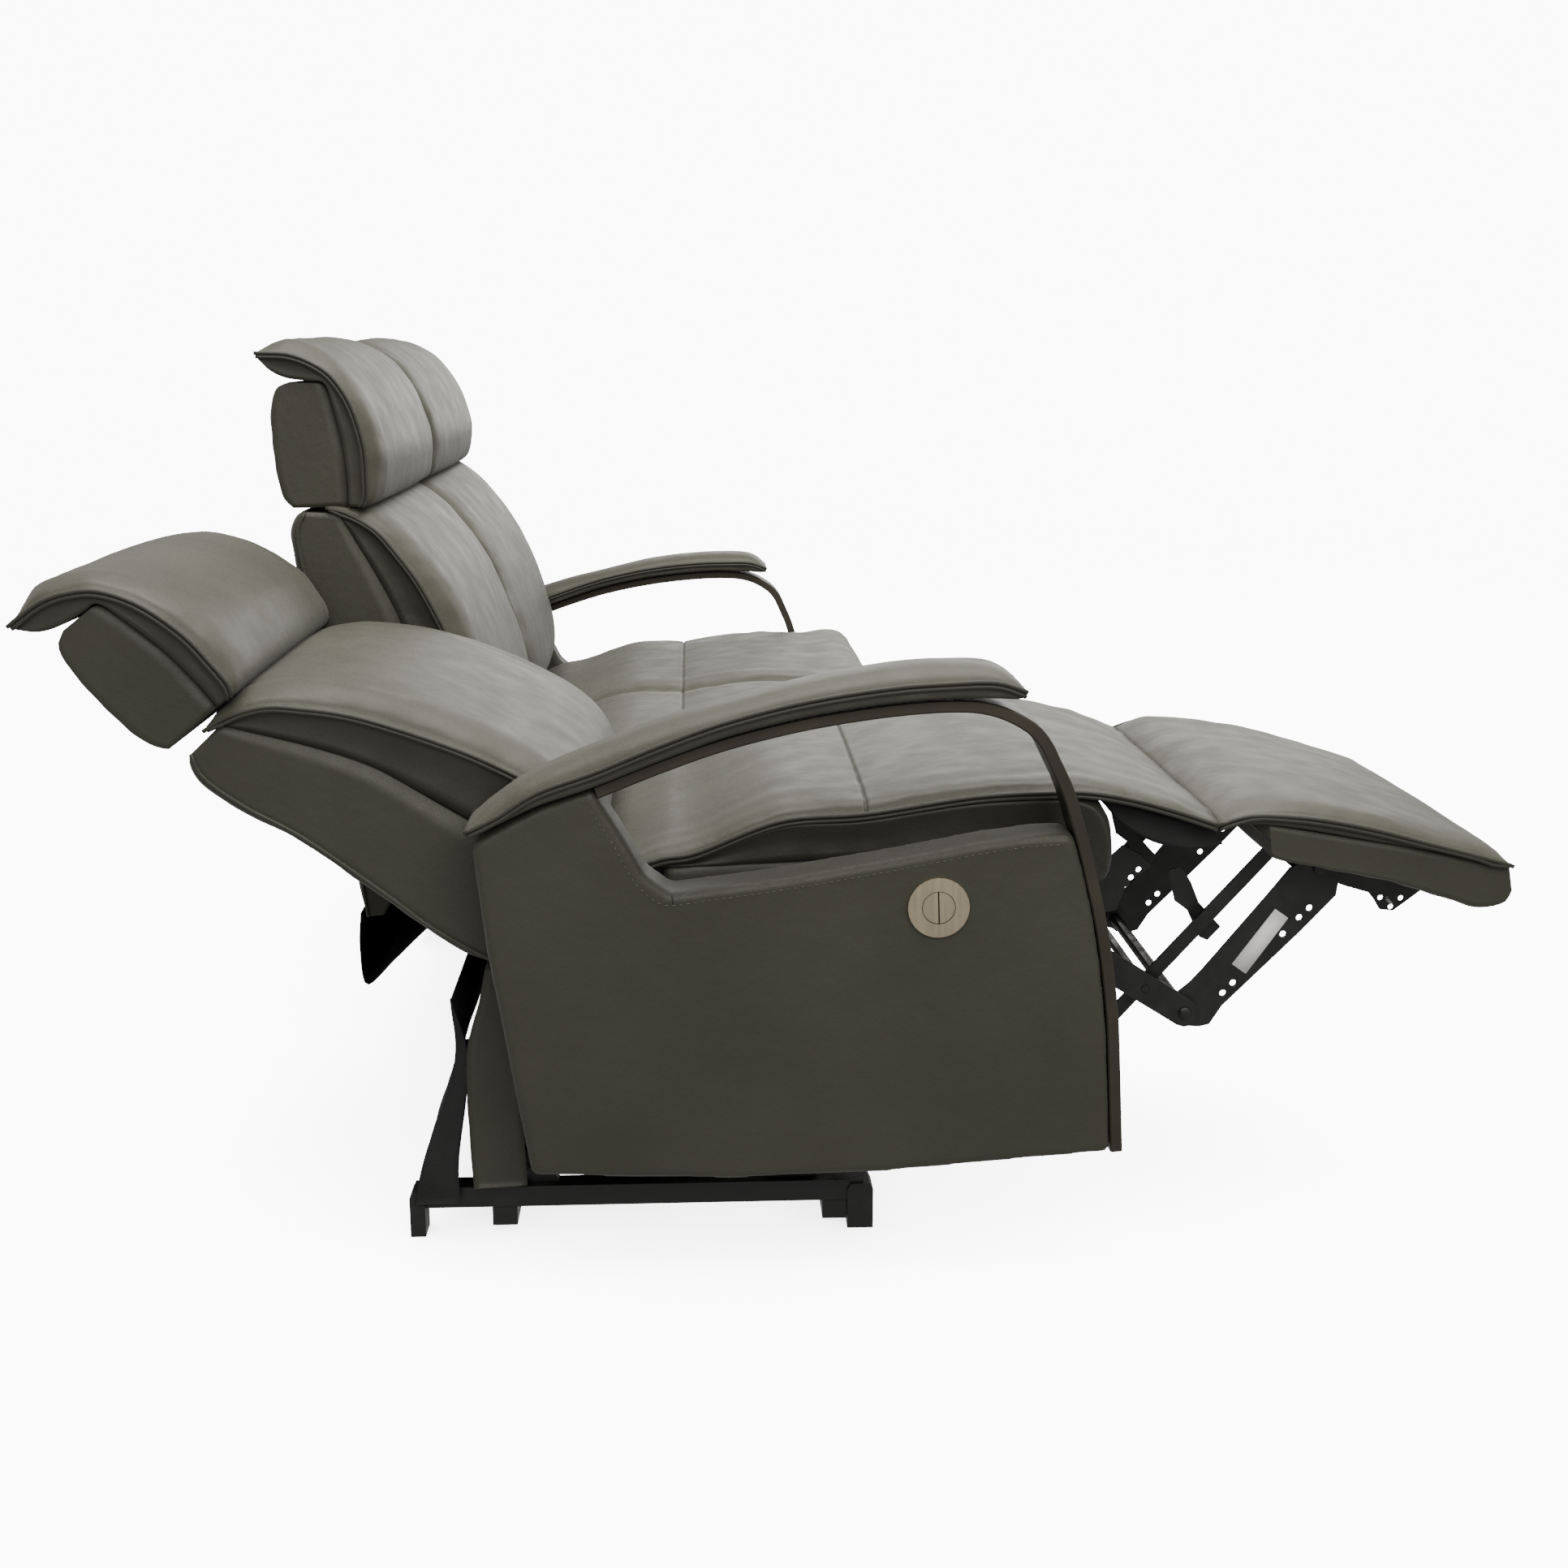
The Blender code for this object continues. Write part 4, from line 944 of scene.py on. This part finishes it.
def circle(centre, radius):
    turns = (2 * math.pi * k / CIRCLE_SIDES for k in range(CIRCLE_SIDES))
    return [centre + radius * Vector((math.cos(a), 0, math.sin(a))) for a in turns]


def drilled(piece, spots, radius, reach):
    """Cuts round holes across the whole piece at the given places."""
    cutters = Skin()
    for spot in spots:
        cutters.loft([[p + Vector((0, y, 0)) for p in circle(spot, radius)] for y in reach])
    cutter = cutters.piece("cutter", BLACK_STEEL)
    cut = piece.modifiers.new("holes", "BOOLEAN")
    cut.operation = "DIFFERENCE"
    cut.object = cutter
    cut.solver = "EXACT"
    settle(piece)
    bpy.data.objects.remove(cutter)


def settle(piece):
    """Bakes the modifiers of a new piece into its mesh."""
    bpy.context.view_layer.update()
    seen = piece.evaluated_get(bpy.context.evaluated_depsgraph_get())
    mesh = bpy.data.meshes.new_from_object(seen)
    piece.modifiers.clear()
    piece.data = mesh


def eased(thing, width):
    """Bevels the sharp edges of a piece or a CAD node."""
    soft = thing.modifiers.new("edge", "BEVEL")
    soft.width = width
    soft.segments = 2
    soft.limit_method = "ANGLE"
    soft.angle_limit = math.radians(40)


def mirrored(seat, layer):
    """A layer's Y limits on the seat's outer and inner sides."""
    inner = (MIRROR_DEPTH - layer[1], MIRROR_DEPTH - layer[0])
    return [tuple(depth_y(seat, d) for d in pair) for pair in (layer, inner)]


LONG_OUTLINE = [
    (0.5885, 0.3391), (0.5591, 0.3042), (0.4816, 0.2151), (0.4660, 0.1990), (0.4480, 0.1850),
    (0.4460, 0.1560), (0.4600, 0.1430), (0.4788, 0.1411), (0.4909, 0.1437), (0.5058, 0.1661),
    (0.6003, 0.2556), (0.6460, 0.3020), (0.6500, 0.3300), (0.6400, 0.3520), (0.6180, 0.3570),
]
LONG_HOLES = [(0.6135, 0.2871), (0.601, 0.2755), (0.5812, 0.2553), (0.5199, 0.1956), (0.5074, 0.1831)]
FLAP_ARM = [
    (0.4450, 0.3360), (0.4620, 0.3400), (0.4736, 0.3195), (0.4836, 0.2931), (0.5114, 0.2600),
    (0.4950, 0.2430), (0.4850, 0.2480), (0.4692, 0.2836), (0.4537, 0.2962),
]
UPPER_PLATE = [
    (0.3300, 0.2700), (0.3635, 0.2870), (0.3794, 0.2901), (0.3905, 0.3187), (0.4236, 0.3454),
    (0.4100, 0.3600), (0.3879, 0.3720), (0.3663, 0.3537), (0.3450, 0.3250), (0.3200, 0.2950),
]
PLATE_HOLES = [(0.4074, 0.3400), (0.3980, 0.3304)]
BRACKET_HOLES = [(0.7043, 0.3076), (0.7135, 0.2852), (0.7270, 0.2727), (0.7394, 0.2832)]
BRACKET = [
    (0.6495, 0.3117), (0.6902, 0.3031), (0.7054, 0.2835), (0.7129, 0.2702), (0.7298, 0.2676),
    (0.7432, 0.2771), (0.7658, 0.2932), (0.7620, 0.3250), (0.6500, 0.3500),
]
LABEL = [(0.5705, 0.2887), (0.5870, 0.2761), (0.5353, 0.2070), (0.5179, 0.2207)]


def spots(place, pairs):
    return [place @ Vector((x, 0, z)) for x, z in pairs]


def plates(seat, label, outline, layer, place, body, holes=(), radius=3.6 * MM, pin=(), replaces=()):
    """Drilled steel plates on the seat's outer and inner sides, and the pin that joins them."""
    skin = Skin()
    for limits in mirrored(seat, layer):
        flat_plate(skin, outline, *limits)
    if pin:
        skin.tube(pin, 0.005, 16)
    piece = skin.piece(seat.name + label, BLACK_STEEL, place)
    if holes:
        drilled(piece, spots(place, holes), radius, (min(seat.ys) - 0.1, max(seat.ys) + 0.1))
    eased(piece, 0.7 * MM)
    piece.data.set_sharp_from_angle(angle=math.radians(35))
    finish_piece(piece, body, replaces)


def spring(seat):
    """The small bright coil spring beside the footrest bracket's outer plate."""
    start = Vector((0.7156, depth_y(seat, 0.2015), 0.2892))
    along = Vector((0.0077, 0, -0.0093))
    side = Vector((0.77, 0, 0.64))
    coils, steps, radius = 5, 12, 2.2 * MM
    path = []
    for k in range(coils * steps + 1):
        a = 2 * math.pi * k / steps
        across = math.cos(a) * side + math.sin(a) * Vector((0, 1, 0))
        path.append(start + along * (k / (coils * steps)) + radius * across)
    skin = Skin()
    skin.tube(path, 0.5 * MM, 6)
    piece = skin.piece(seat.name + "_bracket_spring", BRIGHT_ROD, seat.foot)
    finish_piece(piece, seat.bodies["foot"])


def mechanism(seat):
    """The visible plates of the footrest's linkage, with their holes, and the blank label."""
    name = seat.name
    long_place = link_place(seat, 1.0)
    ends = [layer[0] for layer in mirrored(seat, (0.1835, 0.185))]
    plates(seat, "_long_link_plates", LONG_OUTLINE, (0.181, 0.186), long_place,
           name + "_foot_link_long", LONG_HOLES, 4.2 * MM,
           [Vector((FOOT_PIN.x, y, FOOT_PIN.z)) for y in ends], [name + "_foot_link_long"])
    plates(seat, "_flap_arms", FLAP_ARM, (0.2095, 0.2135), link_place(seat, CROSS_SHARE),
           name + "_foot_link_cross")
    plates(seat, "_upper_plates", UPPER_PLATE, (0.2045, 0.2085), lower_place(seat),
           name + "_foot_link_lower", PLATE_HOLES)
    plates(seat, "_bracket_plates", BRACKET, (0.2150, 0.2190), seat.foot, seat.bodies["foot"],
           BRACKET_HOLES)
    spring(seat)
    label = Skin()
    y = depth_y(seat, 0.181) + seat.side * 0.4 * MM
    flat_plate(label, LABEL, y, y - seat.side * 0.3 * MM)
    piece = label.piece(name + "_blank_label", PAPER, long_place)
    finish_piece(piece, name + "_foot_link_long")


RIVET_PROFILE = ((8.5, -0.5), (8.5, 0.8), (7.4, 2.0), (5.0, 2.8), (2.0, 3.2))     # (radius, height) in mm


def rivets(seat):
    """Domed rivet heads on the links' pins, outside and inside."""
    heads = (
        ("_elbow_rivets", LINK_ELBOW, lower_place(seat), 0.1725, "_foot_link_lower"),
        ("_foot_rivets", FOOT_PIN, link_place(seat, 1.0), 0.181, "_foot_link_long"),
        ("_root_rivets", LINK_ROOT, seat.seat, 0.163, "_seat"),
    )
    for label, centre, place, depth, body in heads:
        skin = Skin()
        for layer, out in zip(mirrored(seat, (depth, depth)), (1, -1)):
            y = layer[0]
            rows = []
            for radius, height in RIVET_PROFILE:
                ring = circle(centre, radius * MM)
                for p in ring:
                    p.y = y + seat.side * out * height * MM
                rows.append(ring)
            skin.loft(rows)
        piece = skin.piece(seat.name + label, BRIGHT_ROD if "root" in label else BLACK_STEEL, place)
        finish_piece(piece, seat.name + body)


STITCH_LINE = [
    (-0.252, 0.5100), (-0.2235, 0.4610), (-0.2010, 0.4140), (-0.1780, 0.3900), (-0.1600, 0.3850),
    (-0.1300, 0.3875), (-0.0400, 0.3962), (0.0858, 0.4120), (0.1894, 0.4270), (0.2477, 0.4322),
    (0.2760, 0.4322),
]


def stitches(seat):
    """Stitches along the arm panel's window, a centimetre below its edge, and one short seam."""
    points = [Vector((x, 0, z)) for x, z in STITCH_LINE]
    steps, _, _ = steps_along(points, 4 * MM)
    y = depth_y(seat, 0.0) + seat.side * 0.2 * MM
    skin = Skin()
    for (t0, _), (t1, _) in list(zip(steps, steps[1:]))[::2]:
        a = smooth_line(points, t0)
        b = smooth_line(points, t1)
        a.y = b.y = y
        middle = (a + b) / 2 + Vector((0, seat.side * 0.35 * MM, 0))
        skin.tube([a, middle, b], 0.55 * MM, 6)
    piece = skin.piece(seat.name + "_arm_stitches", THREAD, seat.seat)
    finish_piece(piece, seat.bodies["seat"])
    seam = Skin()
    seam.tube([Vector((-0.160, y, z)) for z in (0.3985, 0.393, 0.386)], 0.7 * MM, 6)
    piece = seam.piece(seat.name + "_arm_seam", HIDE_BAND_PAINTED_SHADE, seat.seat)
    finish_piece(piece, seat.bodies["seat"])


def ears(seat):
    """The hinge plates that join the back shell to the seat frame."""
    outline = [(-0.360, 0.450), (-0.345, 0.4068)]
    outline += [
        (BACK_HINGE.x + 0.015 * math.cos(a), BACK_HINGE.z + 0.015 * math.sin(a))
        for a in (math.radians(-95 + 185 * k / 10) for k in range(11))
    ]
    outline += [(-0.310, 0.4255)]
    plates(seat, "_back_hinge_ears", outline, (0.172, 0.178), seat.back, seat.bodies["back"])


LINING_INSET = 0.024
LINING_ROWS = [
    ((0.345, 0.452), (0.350, 0.444), (0.350, 0.442)),
    ((0.368, 0.446), (0.368, 0.424), (0.369, 0.420)),
    ((0.395, 0.438), (0.397, 0.404), (0.398, 0.398)),
    ((0.425, 0.428), (0.430, 0.392), (0.432, 0.386)),
    ((0.455, 0.417), (0.462, 0.388), (0.466, 0.384)),
    ((0.476, 0.409), (0.487, 0.392), (0.490, 0.390)),
]


def bridge_lining(seat, seed):
    """The padded black flap under the leather that joins the seat and the footrest."""
    ys = (seat.ys[0] + LINING_INSET, seat.ys[1] - LINING_INSET)
    skin = cushion(LINING_ROWS, ys, welts=0, tuck=2 * MM, edge=0.03, seed=seed, folds=1.5,
                   ends=(0.01, 0.01))
    if seat is FAR:
        fold_forward(skin, BEND_START, BEND_END, FOOT_FOLD)
    piece = skin.piece(seat.name + "_bridge_lining", DUST_CLOTH, seat.seat)
    crossing(piece)


for number, each in enumerate(END_SEATS):
    mechanism(each)
    rivets(each)
    stitches(each)
    ears(each)
    bridge_lining(each, 70.0 + number)


# ---- carried-over CAD nodes ----
def dressed(node, material, bevel):
    """Gives a CAD node its material and eased edges."""
    thing = NODES[node]
    thing.data.materials.clear()
    thing.data.materials.append(material)
    eased(thing, bevel)


for node in NODES:
    if "button" in node:
        dressed(node, NICKEL, 0.0007)
    elif "actuator_motor" in node:
        dressed(node, BLACK_PLASTIC, 0.0012)
    elif "actuator_rod" in node:
        dressed(node, BRIGHT_ROD, 0.0005)
    elif any(word in node for word in ("rail", "tie_bar", "swing", "frame", "link", "bracket")):
        dressed(node, BLACK_STEEL, 0.0008)


# ---- floor, light and camera ----
FLOOR_GLOW = 10.0
FLOOR_RADIUS = 8.0
FLOOR_SIDES = 96
COVE = 2.0
WALL_HEIGHT = 12.0


def stage():
    """A round pale floor that curves up into a wall on all sides; it glows, with a painted contact shadow
    where ambient occlusion darkens the glow near the sofa.
    """
    skin = Skin()
    profile = [(0.01, 0.0), (2.0, 0.0), (5.0, 0.0), (FLOOR_RADIUS, 0.0)]
    for i in range(1, 13):
        a = i * math.pi / 24
        profile.append((FLOOR_RADIUS + COVE * math.sin(a), COVE - COVE * math.cos(a)))
    profile.append((FLOOR_RADIUS + COVE, WALL_HEIGHT))
    turns = [2 * math.pi * k / FLOOR_SIDES for k in range(FLOOR_SIDES)]
    rings = [[Vector((r * math.cos(a), r * math.sin(a), z)) for a in turns] for r, z in profile]
    skin.loft(rings, caps=False)
    skin.faces.append(tuple(range(FLOOR_SIDES)))
    material, tree, shader, place = node_material("studio_floor", (0.90, 0.90, 0.89), 0.75)
    paint = ramp(tree, noise_node(tree, place, 1.2), (0.88, 0.88, 0.875), (0.91, 0.91, 0.905))
    tree.links.new(paint, shader.inputs["Base Color"])
    # Painted shadow: ambient occlusion darkens the floor's glow under and around the sofa.
    reach = tree.nodes.new("ShaderNodeAmbientOcclusion")
    reach.inputs["Distance"].default_value = 0.55
    shade = ramp(tree, reach.outputs["AO"], (0.30,) * 3, (1.0, 1.0, 0.995), 0.0, 0.75)
    tree.links.new(shade, shader.inputs["Emission Color"])
    shader.inputs["Emission Strength"].default_value = FLOOR_GLOW
    floor = skin.piece("studio_floor", material)
    floor.visible_diffuse = False
    floor.visible_glossy = False
    floor.visible_shadow = False


def area_light(name, place, target, size, energy):
    light = bpy.data.lights.new(name, "AREA")
    light.shape = "RECTANGLE"
    light.size, light.size_y = size
    light.energy = energy
    light.color = (1.0, 0.985, 0.95)
    thing = bpy.data.objects.new(name, light)
    thing.location = place
    thing.rotation_euler = (Vector(target) - Vector(place)).to_track_quat("-Z", "Y").to_euler()
    thing.visible_camera = False
    bpy.context.scene.collection.objects.link(thing)


stage()
area_light("softbox_top", (0.2, -0.3, 3.2), (0.15, 0.0, 0.3), (3.4, 2.6), 190)
area_light("softbox_front", (0.5, -4.3, 2.9), (0.1, 0, 0.4), (4.0, 2.4), 165)
area_light("softbox_back", (1.4, 4.4, 2.0), (0.6, 0, 0.5), (4.0, 2.4), 75)
world = bpy.data.worlds.new("studio")
world.use_nodes = True
world.node_tree.nodes["Background"].inputs["Color"].default_value = (1.0, 0.98, 0.95, 1)
world.node_tree.nodes["Background"].inputs["Strength"].default_value = 0.5
bpy.context.scene.world = world

camera = bpy.data.cameras.new("camera")
camera.lens = 44.09
camera.sensor_width = 36.0
viewpoint = bpy.data.objects.new("camera", camera)
viewpoint.location = (-0.1043, -3.015, 1.054)
viewpoint.rotation_euler = (math.radians(77.09), 0, math.radians(-2.73))
bpy.context.scene.collection.objects.link(viewpoint)
bpy.context.scene.camera = viewpoint
